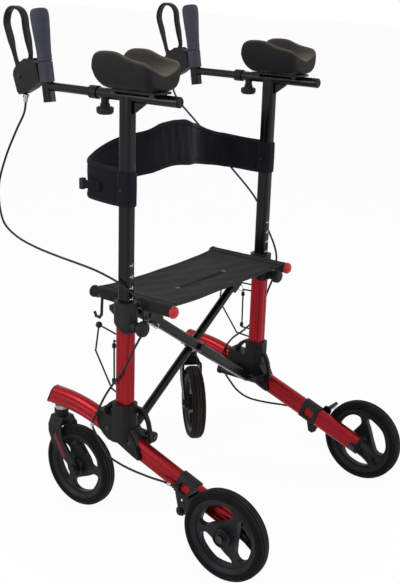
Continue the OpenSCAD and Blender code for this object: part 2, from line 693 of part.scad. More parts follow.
// Frame along the leaning hand post, with its foot at the origin
module hand() {
  translate([post_x, hand_y, hand_z]) rotate([-hand_lean, 0, 0]) children();
}

module handle_tube() {
  color(black) difference() {
    union() {
      translate([post_x, hand_y - 226, arm_z]) rotate([-90, 0, 0]) cylinder(h = 226, d = inner_od);
      hand() linear_extrude(84) rrect(21, 22, 5);
      hand() cylinder(h = 84 + grip_l - 8, d = 19);
    }
    translate([post_x, hand_y - 228, arm_z]) rotate([-90, 0, 0]) cylinder(h = 216, d = inner_od - 4);
    hand() translate([0, 0, -1]) linear_extrude(14) rrect(16.5, 17.5, 3);
  }
}

module grip() {
  color(grey) hand() translate([0, 0, 84]) rotate_extrude($fn = 64) polygon([
    [9.55, 0.1], [14.5, 0.1], [15.6, 1], [15.6, 3.5], [15, 4.2], [15, 7], [15.8, 8], [15.4, 16],
    [16.2, 30], [17.2, 46], [18.4, 62], [19.4, grip_l - 30], [19.9, grip_l - 20], [19.5, grip_l - 10],
    [17.4, grip_l - 4], [12.5, grip_l - 0.8], [6, grip_l], [0, grip_l], [0, grip_l - 7.9],
    [9.55, grip_l - 7.9]
  ]);
}

// Outline drawn round the lever's pin, as a plate across the walker
module lever_plate(t) {
  translate([post_x - t / 2, lever_y, lever_z]) rotate([90, 0, 90]) linear_extrude(t) children();
}

// Lever housing, clamped round the hand post, with the lever's pin
module lever_housing() {
  color(black) difference() {
    union() {
      hand() translate([0, 0, 42]) linear_extrude(41) rrect(27, 28, 9);
      lever_plate(22) polygon([
        [-60, -6], [-38, -22], [-10, -36], [1, -38], [7, -33], [13, -16], [19, 2], [17, 12], [10, 21],
        [-14, 38], [-32, 40], [-50, 32]
      ]);
      translate([post_x, lever_y - 5, lever_z - 44]) rotate([14, 0, 0]) cylinder(h = 14, d = 9);
      translate([post_x, lever_y - 6, lever_z - 54]) rotate([14, 0, 0]) cylinder(h = 12, d = 7);
    }
    hand() translate([0, 0, 30]) linear_extrude(70) rrect(21 + 2 * seat_gap, 22 + 2 * seat_gap, 5 + seat_gap);
    lever_plate(10) polygon([[-41, 58], [-41, 18], [-22, -14], [0, -17], [16, -10], [38, 8], [38, 58]]);
  }
  color(steel) translate([post_x - 9, lever_y, lever_z]) rotate([0, 90, 0]) cylinder(h = 18, d = 6);
}

// Loop lever: its path, and the outline of its band as shares of half its thickness and half its width
lever_band = [
  [1, -0.75], [1, 0.75], [0.55, 1], [-0.55, 1], [-1, 0.75], [-1, -0.75], [-0.55, -1], [0.55, -1]
];
lever_loop = [
  [-25, 40], [-21, 68], [-13, 100], [-9, 124], [3, 138], [24, 141], [38, 131], [44, 108], [34, 78], [24, 48],
  [14, 24], [-6, 14]
];
module brake_lever() {
  loop = closed_curve([for (p = lever_loop) [post_x, lever_y + p[0], lever_z + p[1]]], 4);
  n = len(loop);
  s = len(lever_band);
  color(black) difference() {
    union() {
      polyhedron(
        points = [for (i = [0 : n - 1])
          let (
            t = unit(loop[(i + 1) % n] - loop[(i + n - 1) % n]), a = cross(t, [1, 0, 0]),
            rise = min(1, max(0, (loop[i][2] - lever_z - 44) / 30))
          ) for (b = lever_band) loop[i] + (4 - rise) * b[0] * a + (4 + 5.5 * rise) * b[1] * [1, 0, 0]],
        faces = [for (i = [0 : n - 1], k = [0 : s - 1])
          [i * s + k, i * s + (k + 1) % s, ((i + 1) % n) * s + (k + 1) % s, ((i + 1) % n) * s + k]],
        convexity = 8
      );
      lever_plate(8) polygon([
        [-12, -6], [-4, -12], [6, -11], [12, -2], [19, 27], [8, 30], [-6, 20], [-23, 44], [-31, 36], [-20, 10]
      ]);
    }
    translate([post_x - 20, lever_y, lever_z]) rotate([0, 90, 0]) cylinder(h = 40, d = 6 + 2 * run_gap);
  }
}

// Brake cables. Each is split where it hangs free, so that the upper part can go with the handle.
cable_d = 5;
cable_top = [post_x, lever_y - 7.4, lever_z - 55];
left_upper = [
  cable_top, [262, 318, 893], [271, 334, 855], [281, 356, 800], [289, 371, 745], [290, 374.5, 702]
];
left_lower = [
  [290, 361, 651], [290, 321, 625], [289, 267, 611], [287, 202, 602], [284, 135, 595], [281, 89, 588.5],
  [278.5, 45, 578], [277.5, 25, 571], [276, 12, 564], [272, 6.5, 558.5], [265.7, 4, 552],
  [258.3, 2, 542.5], [251.5, -2, 531.5], [246, -5, 520], [242.5, -8, 500], [246, -10, 466], [262, -12, 452],
  [276, -8, 430], [280, 10, 388], [280, 38, 350], [281, 64, 311], [281, 88, 265], [281, 103, 230],
  [281, 95, 212], [281, 74, 185], [281, 48, 164], [281, -4, 155], [281, -60, 154], [279, -100, 155],
  [276, -124, 152]
];
right_upper = [cable_top, [260, 314, 900], [261, 292, 872], [262, 240, 830]];
right_lower = [
  [262, 186, 782], [264, 134, 733], [270, 85, 688], [276, 54, 650], [277, 22, 590], [280, 0, 545],
  [284, -4, 510], [285, 2, 470], [281, 14, 430], [280, 30, 380], [279, 52, 340], [272, 76, 310],
  [256, 98, 288], [240, 110, 262], [234, 115, 232], [234, 114, 208], [235, 102, 191], [236, 86, 174],
  [237, 64, 155], [239, 30, 143], [242, -20, 144], [252, -62, 146], [266, -90, 144], [274, -110, 149],
  [276, -124, 152]
];
split_gap = 0.8;
module cable(upper, lower, is_upper) {
  n = 4;
  line = curve(concat(upper, lower), n);
  k = len(upper) * n;
  end = line[k] - split_gap * unit(line[k] - line[k - 1]);
  color(black) swept(
    is_upper ? concat([for (i = [0 : k - 1]) line[i]], [end]) : [for (i = [k : len(line) - 1]) line[i]],
    cable_d
  );
}

// Opening between two spokes: radius as a share of the rim's inner radius, and angle
rim_opening = [
  [0.92, -47], [0.955, -10], [0.95, 25], [0.87, 46], [0.65, 51], [0.46, 30], [0.42, -5],
  [0.55, -36], [0.74, -52]
];

// Wheel on the X axis, centred on the origin, with its spokes turned by an angle
module rim(r, bore, turn) {
  ri = r - tyre_h;
  inner = ri - 11;
  opening = closed_curve([for (p = rim_opening) inner * p[0] * [cos(p[1]), sin(p[1])]], 5);
  color(grey) rotate([0, 90, 0]) difference() {
    union() {
      rotate_extrude($fn = 96) polygon([
        [inner, -9], [ri - 3, -14], [ri, -14], [ri, 14], [ri - 3, 14], [inner, 9], [ri - 9, 0]
      ]);
      cylinder(h = hub_w, d = 42, center = true);
      translate([0, 0, -7]) linear_extrude(14) difference() {
        circle(r = ri - 5);
        for (a = [0, 120, 240]) rotate(a + turn) polygon(opening);
      }
    }
    for (z = [hub_w / 2 - 3, -hub_w / 2 - 1]) translate([0, 0, z]) difference() {
      cylinder(h = 4, d = 36);
      translate([0, 0, -1]) cylinder(h = 6, d = 26);
    }
    cylinder(h = 100, d = bore, center = true);
  }
}

module tyre(r) {
  ri = r - tyre_h;
  h = tyre_w / 2;
  color("#2a2624") rotate([0, 90, 0]) rotate_extrude($fn = 96) polygon([
    [ri, -14], [ri + 3, -h + 1.5], [ri + 7, -h], [r - 7, -h + 1], [r - 2.5, -h + 5], [r - 0.8, -h + 8],
    [r - 2, -8.6], [r - 2, -7.4], [r, -6], [r, -1], [r - 1.6, -0.5], [r - 1.6, 0.5], [r, 1], [r, 6],
    [r - 2, 7.4], [r - 2, 8.6], [r - 0.8, h - 8], [r - 2.5, h - 5], [r - 7, h - 1], [ri + 7, h],
    [ri + 3, h - 1.5], [ri, 14]
  ]);
}

// Fork with its stem, drawn with the stem at the origin and the wheel trailing towards -Y
module fork() {
  crown = crown_z;
  color(black) difference() {
    union() {
      translate([0, 0, fork_top - 22]) cylinder(h = 22, d = 33);
      translate([0, 0, fork_top - 1]) cylinder(h = stem_l, d = stem_d);
      difference() {
        translate([0, 17, 0]) rotate([90, 0, 0]) linear_extrude(38) polygon([
          [-fork_in - fork_t, crown], [fork_in + fork_t, crown], [fork_in + fork_t, crown + 5],
          [17, fork_top - 15], [-17, fork_top - 15], [-fork_in - fork_t, crown + 5]
        ]);
        translate([-fork_in - fork_t - 1, -trail, front_r]) rotate([0, 90, 0])
          cylinder(h = 2 * (fork_in + fork_t + 1), r = front_r + tyre_gap, $fn = 96);
      }
      for (s = [-1, 1]) translate([s > 0 ? fork_in : -fork_in - fork_t, 0, 0]) rotate([90, 0, 90])
        linear_extrude(fork_t) polygon([
          [12, crown + 4], [17, crown - 2], [16, crown - 14], [2, crown - 46], [-trail + 18, front_r + 6],
          [-trail + 14, front_r - 9], [-trail + 4, front_r - 15], [-trail - 8, front_r - 13],
          [-trail - 15, front_r - 2], [-trail - 8, front_r + 12], [-28, crown - 24], [-24, crown + 5],
          [-20, crown + 9]
        ]);
      translate([-fork_in - fork_t - 4, -trail, front_r]) rotate([0, 90, 0])
        cylinder(h = 2 * (fork_in + fork_t) + 8, d = axle_d);
      for (s = [-1, 1]) translate([s * (fork_in + fork_t + 2), -trail, front_r]) rotate([0, 90, 0])
        cylinder(h = 4.4, d = 17, center = true);
    }
    for (s = [-1, 1]) translate([s * (fork_in + fork_t), 0, 0]) rotate([90, 0, 90])
      linear_extrude(2.4, center = true) {
        translate([-6, crown - 20]) circle(d = 13);
        translate([-33, crown - 62]) circle(d = 13);
        translate([-19.5, crown - 41]) rotate(-32.735) square([13, 49.9], center = true);
      }
  }
}

module rear_wheel() {
  translate([rear_x, axle_y, axle_z]) children();
}

module caster(turn) {
  translate([stem_x, stem_y, 0]) rotate(turn) children();
}

module front_wheel(turn) {
  caster(turn) translate([0, -trail, front_r]) children();
}

module rear_rim(spokes) {
  rear_wheel() rim(rear_r, axle_d + 2 * run_gap, spokes);
}

module front_rim(turn, spokes) {
  front_wheel(turn) rim(front_r, axle_d + 2 * run_gap, spokes);
}

// Cross bars. A runs from the left rail to the right frame, B from the right rail to the left frame.
module cross_bar_a() {
  color(black) translate([0, 0, cross_z]) rotate([0, brace_angle, 0]) difference() {
    union() {
      translate([-top_len, flat_y, 0]) rotate([90, 0, 90]) linear_extrude(top_len + brace_len)
        rrect(flat_d, flat_h, 5);
      translate([brace_len, sleeve_y0, 0]) rotate([-90, 0, 0])
        cylinder(h = sleeve_y1 - sleeve_y0, d = sleeve_d);
      translate([-top_len, flat_y - flat_d / 2, 0]) rotate([-90, 0, 0]) cylinder(h = flat_d, d = 27);
      translate([-top_len + 16, flat_y - flat_d / 2 - 2, -flat_h / 2 - 2]) cube([34, flat_d + 4, flat_h + 4]);
      translate([0, flat_y - flat_d / 2 - 7, 0]) rotate([-90, 0, 0]) cylinder(h = 12, d = 20);
      translate([0, flat_y, 0]) rotate([-90, 0, 0]) cylinder(h = brace_y + round_d + 4 - flat_y, d = 10);
      translate([0, brace_y + round_d + 1.6, 0]) rotate([-90, 0, 0]) cylinder(h = 5, d = 19, $fn = 6);
    }
    for (x = [-top_len, brace_len]) translate([x, -60, 0]) rotate([-90, 0, 0])
      cylinder(h = 260, d = pin_d + 2 * run_gap);
  }
}

module cross_bar_b() {
  color(black) translate([0, 0, cross_z]) rotate([0, -brace_angle, 0]) difference() {
    union() {
      translate([-brace_len, round_y, 0]) rotate([0, 90, 0]) cylinder(h = brace_len + top_len, d = round_d);
      translate([-brace_len, sleeve_y0, 0]) rotate([-90, 0, 0])
        cylinder(h = sleeve_y1 - sleeve_y0, d = sleeve_d);
      translate([top_len, round_y - round_d / 2, 0]) rotate([-90, 0, 0]) cylinder(h = round_d, d = 27);
      translate([top_len - 50, round_y - round_d / 2 - 0.4, -round_d / 2 - 3])
        cube([34, round_d + 2.4, round_d + 6]);
      translate([0, round_y - round_d / 2, 0]) rotate([-90, 0, 0]) cylinder(h = round_d, d = 24);
    }
    for (x = [-brace_len, top_len]) translate([x, -60, 0]) rotate([-90, 0, 0])
      cylinder(h = 260, d = pin_d + 2 * run_gap);
    translate([0, -60, 0]) rotate([-90, 0, 0]) cylinder(h = 260, d = 10 + 2 * run_gap);
  }
}

// Seat rail with its end caps, the hanger that the cross bar turns on, and the bag hook
module seat_rail(mid, wide) {
  y0 = mid - wide / 2 - pass_gap;
  y1 = mid + wide / 2 + pass_gap;
  color(black) {
    translate([rail_x, rail_rear, rail_z]) rotate([-90, 0, 0])
      cylinder(h = rail_front - rail_rear, d = rail_d);
    translate([rail_x, rail_front, rail_z]) rotate([-90, 0, 0]) rotate_extrude() polygon([
      [0, -1], [wrap_r, -1], [wrap_r, 2], [wrap_r - 1, 5], [wrap_r - 4, 8], [wrap_r - 8, 9.5], [0, 10]
    ]);
    translate([rail_x, rail_rear, rail_z]) rotate([90, 0, 0]) rotate_extrude() polygon([
      [0, -1], [wrap_r, -1], [wrap_r, 2], [wrap_r - 1, 5], [wrap_r - 4, 8], [wrap_r - 8, 9.5], [0, 10]
    ]);
    for (y = [y0 - 5, y1]) translate([0, y, 0]) rotate([90, 0, 0]) mirror([0, 0, 1]) linear_extrude(5) {
      translate([top_x, top_z]) circle(d = 25);
      polygon([
        [top_x - 6, top_z + 9], [top_x + 9, top_z - 6], [rail_x + 7, rail_z - 2], [rail_x - 7, rail_z + 2]
      ]);
    }
    translate([top_x, y0 - 8, top_z]) rotate([-90, 0, 0]) cylinder(h = y1 - y0 + 16, d = pin_d);
    wire([[rail_x, 126, rail_z - 8], [rail_x, 128, 468], [rail_x, 134, 460], [rail_x, 144, 461],
      [rail_x, 149, 471]], 6.5);
  }
}

// Seat cloth: a sheet with a hem round each rail
seat_y0 = rail_rear + 3;
seat_y1 = rail_front - 3;
module seat_sling() {
  nx = 16;
  ny = 8;
  a = rail_x - 8;
  z0 = rail_z + rail_d / 2 + cloth_t / 2 - 1;
  function top(u, v) = z0 - seat_sag * (1 - u * u * u * u) * (0.72 + 0.28 * (1 - pow(abs(v), 3)));
  list = [for (j = [0 : ny]) let (v = 2 * j / ny - 1, y = seat_y0 + (seat_y1 - seat_y0) * j / ny)
    concat(
      [for (i = [0 : nx]) let (u = 2 * i / nx - 1) [a * u, y, top(u, v) + cloth_t / 2]],
      [for (i = [nx : -1 : 0]) let (u = 2 * i / nx - 1) [a * u, y, top(u, v) - cloth_t / 2]]
    )];
  hem = [[seat_y0, sling_gap[0] - seat_y0], [sling_gap[1], seat_y1 - sling_gap[1]]];
  color(cloth) difference() {
    union() {
      rings(list);
      for (s = [-1, 1]) translate([s * rail_x, seat_y0, rail_z]) rotate([-90, 0, 0])
        cylinder(h = seat_y1 - seat_y0, r = wrap_r);
    }
    for (s = [-1, 1]) translate([s * rail_x, seat_y0 - 1, rail_z]) rotate([-90, 0, 0])
      cylinder(h = seat_y1 - seat_y0 + 2, d = rail_d + 0.1);
    // openings in the hems for the hangers and the bag hooks
    for (s = [-1, 1]) {
      translate([s * rail_x - 20, sling_gap[0], rail_z - 30]) cube([40, sling_gap[1] - sling_gap[0], 30]);
      translate([s * rail_x - 20, 121, rail_z - 30]) cube([40, 14, 30]);
    }
  }
}

sling_gap = [flat_y - flat_d / 2 - 10, round_y + round_d / 2 + 10];

// Backrest belt: a sleeve on each post, side panels and a span with a raised middle
belt_half = [
  [post_x, post_y + 10, 734, 808], [post_x, post_y + 40, 734, 808], [258, 95, 735, 809], [255, 122, 736, 811],
  [247, 143, 737, 814], [228, 154, 741, 818], [196, 160, 746, 828], [165, 157, 752, 839],
  [138, 149, 757, 847],
  [108, 134, 762, 853], [84, 121, 766, 858], [66, 115, 768, 864], [46, 113, 771, 870], [22, 112, 774, 872]
];
belt_path = concat(
  belt_half, [[0, 112, 775, 873]],
  [for (i = [len(belt_half) - 1 : -1 : 0]) let (b = belt_half[i]) [-b[0], b[1], b[2], b[3]]]
);
module backrest_belt() {
  t = 5;
  p = curve(belt_path, 2);
  n = len(p);
  list = [for (i = [0 : n - 1])
    let (
      c = p[i],
      d = p[min(i + 1, n - 1)] - p[max(i - 1, 0)],
      m = unit([-d[1], d[0]]) * t / 2,
      e = m * 0.45
    ) [
      [c[0] - e[0], c[1] - e[1], c[2]], [c[0] + e[0], c[1] + e[1], c[2]],
      [c[0] + m[0], c[1] + m[1], c[2] + 4],
      [c[0] + m[0] * 1.3, c[1] + m[1] * 1.3, (c[2] + c[3]) / 2], [c[0] + m[0], c[1] + m[1], c[3] - 4],
      [c[0] + e[0], c[1] + e[1], c[3]], [c[0] - e[0], c[1] - e[1], c[3]],
      [c[0] - m[0], c[1] - m[1], c[3] - 4],
      [c[0] - m[0] * 1.3, c[1] - m[1] * 1.3, (c[2] + c[3]) / 2], [c[0] - m[0], c[1] - m[1], c[2] + 4]
    ]];
  color(navy) difference() {
    union() {
      rings(list);
      for (s = [-1, 1]) translate([s * post_x, post_y, 734]) linear_extrude(74)
        rrect(post_w + 8, post_d + 8, post_r + 4);
      for (s = [-1, 1]) translate([s * (post_x + 5), 94, 766]) {
        rotate([-90, 0, 0]) cylinder(h = 50, d = 10);
        translate([0, 51, -12]) cylinder(h = 24, d = 12);
      }
    }
    for (s = [-1, 1]) translate([s * post_x, post_y, 700]) linear_extrude(140)
      rrect(post_w + 2 * seat_gap, post_d + 2 * seat_gap, post_r + seat_gap);
  }
}

left() side_bar();  // left_side_bar
left() bar_end_caps();  // left_bar_end_caps
left() corner_bracket();  // left_corner_bracket
left() upright_tube();  // left_upright_tube
left() clamp_head();  // left_clamp_head
left() frame_fasteners();  // left_frame_fasteners
left() bag_wire();  // left_bag_wire
left() brake_clip();  // left_brake_clip
left() cable(left_upper, left_lower, false);  // left_lower_cable
left() height_knob();  // left_height_knob
left() post();  // left_post
left() arm_tube();  // left_arm_tube
left() arm_collar();  // left_arm_collar
left() forearm_pad();  // left_forearm_pad
left() pad_bolts();  // left_pad_bolts
left() handle_tube();  // left_handle_tube
left() grip();  // left_grip
left() lever_housing();  // left_lever_housing
left() brake_lever();  // left_brake_lever
left() cable(left_upper, left_lower, true);  // left_upper_cable
left() reach_knob();  // left_reach_knob
left() brake_arm();  // left_brake_arm
left() rear_rim(30);  // left_rear_rim
left() rear_wheel() tyre(rear_r);  // left_rear_tyre
left() caster(left_turn) fork();  // left_fork
left() front_rim(left_turn, 90);  // left_front_rim
left() front_wheel(left_turn) tyre(front_r);  // left_front_tyre
side_bar();  // right_side_bar
bar_end_caps();  // right_bar_end_caps
corner_bracket();  // right_corner_bracket
upright_tube();  // right_upright_tube
clamp_head();  // right_clamp_head
frame_fasteners();  // right_frame_fasteners
bag_wire();  // right_bag_wire
brake_clip();  // right_brake_clip
cable(right_upper, right_lower, false);  // right_lower_cable
height_knob();  // right_height_knob
post();  // right_post
arm_tube();  // right_arm_tube
arm_collar();  // right_arm_collar
forearm_pad();  // right_forearm_pad
pad_bolts();  // right_pad_bolts
handle_tube();  // right_handle_tube
grip();  // right_grip
lever_housing();  // right_lever_housing
brake_lever();  // right_brake_lever
cable(right_upper, right_lower, true);  // right_upper_cable
reach_knob();  // right_reach_knob
brake_arm();  // right_brake_arm
rear_rim(125);  // right_rear_rim
rear_wheel() tyre(rear_r);  // right_rear_tyre
caster(-right_turn) fork();  // right_fork
front_rim(-right_turn, 90);  // right_front_rim
front_wheel(-right_turn) tyre(front_r);  // right_front_tyre
cross_bar_a();
cross_bar_b();
left() seat_rail(flat_y, flat_d);  // left_seat_rail
seat_rail(round_y, round_d);  // right_seat_rail
seat_sling();
backrest_belt();
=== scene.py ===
"""Looks of the upright walker: finishes, cables, seat cloth, belt, forearm troughs and small fittings."""

import json
import math
from functools import partial

import bmesh
import bpy
from mathutils import Matrix, Quaternion, Vector


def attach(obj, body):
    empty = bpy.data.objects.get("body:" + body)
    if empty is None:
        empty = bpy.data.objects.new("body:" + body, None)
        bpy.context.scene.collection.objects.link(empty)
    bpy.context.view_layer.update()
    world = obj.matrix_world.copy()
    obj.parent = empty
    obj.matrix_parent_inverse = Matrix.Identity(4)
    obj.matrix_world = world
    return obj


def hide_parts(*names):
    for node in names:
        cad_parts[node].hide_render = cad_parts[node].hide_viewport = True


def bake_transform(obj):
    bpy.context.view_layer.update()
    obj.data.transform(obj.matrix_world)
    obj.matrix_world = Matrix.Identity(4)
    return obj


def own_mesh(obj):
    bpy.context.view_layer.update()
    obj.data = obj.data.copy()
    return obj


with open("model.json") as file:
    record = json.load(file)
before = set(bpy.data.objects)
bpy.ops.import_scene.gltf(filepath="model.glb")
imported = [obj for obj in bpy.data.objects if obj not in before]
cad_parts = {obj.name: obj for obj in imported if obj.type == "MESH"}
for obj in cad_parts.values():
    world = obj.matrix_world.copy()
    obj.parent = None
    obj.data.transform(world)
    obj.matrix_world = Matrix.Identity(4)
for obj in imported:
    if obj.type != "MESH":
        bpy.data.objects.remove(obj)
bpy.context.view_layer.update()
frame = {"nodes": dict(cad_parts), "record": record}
nodes = frame["nodes"]
SIDES = {"left": -1, "right": 1}

# Camera, in metres and degrees, and where the lens axis meets the picture, in its pixels
PICTURE = (400, 583)
EYE = (-1.8378, -1.3137, 1.2121)
YAW, PITCH, ROLL = 53.32, 18.49, 1.68
FOCAL_PX = 1029.4
AXIS_PX = (188.3, 307.0)
SENSOR = 36.0

# Sizes that the soft and small pieces share with the frame, in metres
POST_X, POST_Y, POST_W, POST_D, POST_R = 0.259, 0.027, 0.024, 0.030, 0.006
RAIL_X, RAIL_Z, RAIL_R = 0.223, 0.518, 0.011
SEAT_Y0, SEAT_Y1, SEAT_SAG = -0.069, 0.145, 0.009
SEAT_L = SEAT_Y1 - SEAT_Y0
STEM_X, STEM_Y, TRAIL, FRONT_R = 0.25, 0.228, 0.061, 0.097
FORK_OUT = 0.027
# Turn of each front fork, in degrees
TURN = {"left": -1.0, "right": -43.0}


def deselect():
    bpy.ops.object.select_all(action="DESELECT")


def activate(obj):
    deselect()
    obj.select_set(True)
    bpy.context.view_layer.objects.active = obj


def link(obj):
    bpy.context.scene.collection.objects.link(obj)


def shade_smooth(mesh):
    mesh.polygons.foreach_set("use_smooth", [True] * len(mesh.polygons))


def soften(angle):
    """Smooth shading on the active object, but not at edges sharper than an angle in degrees."""
    bpy.ops.object.shade_smooth_by_angle(angle=math.radians(angle))


def take_new(name):
    """The object that an operator has just added, with its name."""
    obj = bpy.context.object
    obj.name = name
    obj.data.name = name
    return obj


def mesh_object(name, points, faces):
    """A new smooth object from points and faces, with its normals facing outwards."""
    mesh = bpy.data.meshes.new(name)
    mesh.from_pydata([tuple(p) for p in points], [], faces)
    shape = bmesh.new()
    shape.from_mesh(mesh)
    bmesh.ops.recalc_face_normals(shape, faces=shape.faces)
    shape.to_mesh(mesh)
    shape.free()
    obj = bpy.data.objects.new(name, mesh)
    link(obj)
    shade_smooth(mesh)
    return obj


def apply_modifier(obj, kind, **settings):
    """Adds a modifier with its settings and makes it part of the mesh."""
    activate(obj)
    modifier = obj.modifiers.new(kind.lower(), kind)
    for key, value in settings.items():
        setattr(modifier, key, value)
    bpy.ops.object.modifier_apply(modifier=modifier.name)


def place_mesh(obj, matrix):
    """Puts a modelled piece in its place, which stays in its mesh."""
    obj.data.transform(matrix)
    obj.data.update()


def rounded_box(name, size, bevel, segments=3):
    """A box of a size round the origin, with its edges rounded in edit mode."""
    deselect()
    bpy.ops.mesh.primitive_cube_add(size=1)
    obj = take_new(name)
    bpy.ops.object.mode_set(mode="EDIT")
    bpy.ops.mesh.select_all(action="SELECT")
    bpy.ops.transform.resize(value=size)
    bpy.ops.mesh.bevel(offset=bevel, segments=segments, affect="EDGES")
    bpy.ops.object.mode_set(mode="OBJECT")
    soften(40)
    return obj


def button(name, radius, height, dome, sides=24):
    """A round head with a stepped, domed top, along +Z from the origin."""
    deselect()
    middle = (0, 0, height / 2)
    bpy.ops.mesh.primitive_cylinder_add(vertices=sides, radius=radius, depth=height, location=middle)
    obj = take_new(name)
    bpy.ops.object.transform_apply(location=True)
    bpy.ops.object.mode_set(mode="EDIT")
    bpy.ops.mesh.select_mode(type="FACE")
    bpy.ops.mesh.select_all(action="DESELECT")
    shape = bmesh.from_edit_mesh(obj.data)
    for face in shape.faces:
        face.select = face.normal.z > 0.9
    bmesh.update_edit_mesh(obj.data)
    bpy.ops.mesh.inset(thickness=radius * 0.25, depth=dome * 0.6)
    bpy.ops.mesh.inset(thickness=radius * 0.35, depth=dome * 0.4)
    bpy.ops.object.mode_set(mode="OBJECT")
    soften(35)
    return obj


def pill(name, width, length, thickness, bevel):
    """A flat piece with round ends, long along Y, with its rims rounded."""
    deselect()
    bpy.ops.mesh.primitive_cylinder_add(vertices=32, radius=width / 2, depth=thickness)
    obj = take_new(name)
    bpy.ops.object.mode_set(mode="EDIT")
    bpy.ops.mesh.select_mode(type="VERT")
    for end in (-1, 1):
        bpy.ops.mesh.select_all(action="DESELECT")
        shape = bmesh.from_edit_mesh(obj.data)
        for vertex in shape.verts:
            vertex.select = vertex.co.y * end > width * 0.01
        shape.select_flush(True)
        bmesh.update_edit_mesh(obj.data)
        bpy.ops.transform.translate(value=(0, end * (length - width) / 2, 0))
    bpy.ops.mesh.select_mode(type="EDGE")
    bpy.ops.mesh.select_all(action="DESELECT")
    bpy.ops.mesh.edges_select_sharp(sharpness=math.radians(60))
    bpy.ops.mesh.bevel(offset=bevel, segments=2, affect="EDGES")
    bpy.ops.object.mode_set(mode="OBJECT")
    soften(40)
    return obj


def sleeve(name, outer, inner, length, groove, sides=32):
    """A short turned tube along +Z from the origin, with a groove round its middle."""
    chamfer = 0.0004
    profile = [
        (inner, 0), (outer - chamfer, 0), (outer, chamfer), (outer, length * 0.4),
        (outer - groove, length * 0.45), (outer - groove, length * 0.55), (outer, length * 0.6),
        (outer, length - chamfer), (outer - chamfer, length), (inner, length),
    ]
    points = []
    for k in range(sides):
        a = 2 * math.pi * k / sides
        points += [Vector((r * math.cos(a), r * math.sin(a), z)) for r, z in profile]
    obj = mesh_object(name, points, ring_faces(sides, len(profile), looped=True))
    activate(obj)
    soften(30)
    return obj


def joined(name, objs):
    """All of the objects as one, under one name."""
    activate(objs[0])
    for obj in objs:
        obj.select_set(True)
    bpy.ops.object.join()
    objs[0].name = name
    objs[0].data.name = name
    return objs[0]


def turn_to(direction, place):
    """The matrix that lays +Z along a direction at a place."""
    return Matrix.Translation(place) @ Vector(direction).to_track_quat("Z", "Y").to_matrix().to_4x4()


# Curves and swept shapes
def smooth_line(points, steps):
    """A smooth line through points, with an even number of steps in each stretch."""
    pts = [Vector(p) for p in points]
    line = []
    for i in range(len(pts) - 1):
        a, b, c, d = pts[max(i - 1, 0)], pts[i], pts[i + 1], pts[min(i + 2, len(pts) - 1)]
        for k in range(steps):
            t = k / steps
            line.append(0.5 * (
                2 * b + (c - a) * t + (2 * a - 5 * b + 4 * c - d) * t**2 + (3 * b - a - 3 * c + d) * t**3
            ))
    line.append(pts[-1])
    return line


def line_length(line):
    return sum((b - a).length for a, b in zip(line, line[1:]))


def ring_faces(rings, sides, looped=False):
    """Faces between rings of points; the last ring meets the first one, or both ends are capped."""
    faces = []
    for i in range(rings if looped else rings - 1):
        a, b = i * sides, (i + 1) % rings * sides
        faces += [(a + k, a + (k + 1) % sides, b + (k + 1) % sides, b + k) for k in range(sides)]
    if not looped:
        last = (rings - 1) * sides
        faces += [tuple(range(sides)), tuple(last + k for k in range(sides))]
    return faces


def swept_tube(name, line, across, up, width, height, sides=10):
    """A tube of oval section along a line; across and up give its two directions at each point."""
    points = []
    for i, p in enumerate(line):
        for k in range(sides):
            a = 2 * math.pi * k / sides
            points.append(p + across[i] * (width / 2 * math.cos(a)) + up[i] * (height / 2 * math.sin(a)))
    return mesh_object(name, points, ring_faces(len(line), sides))


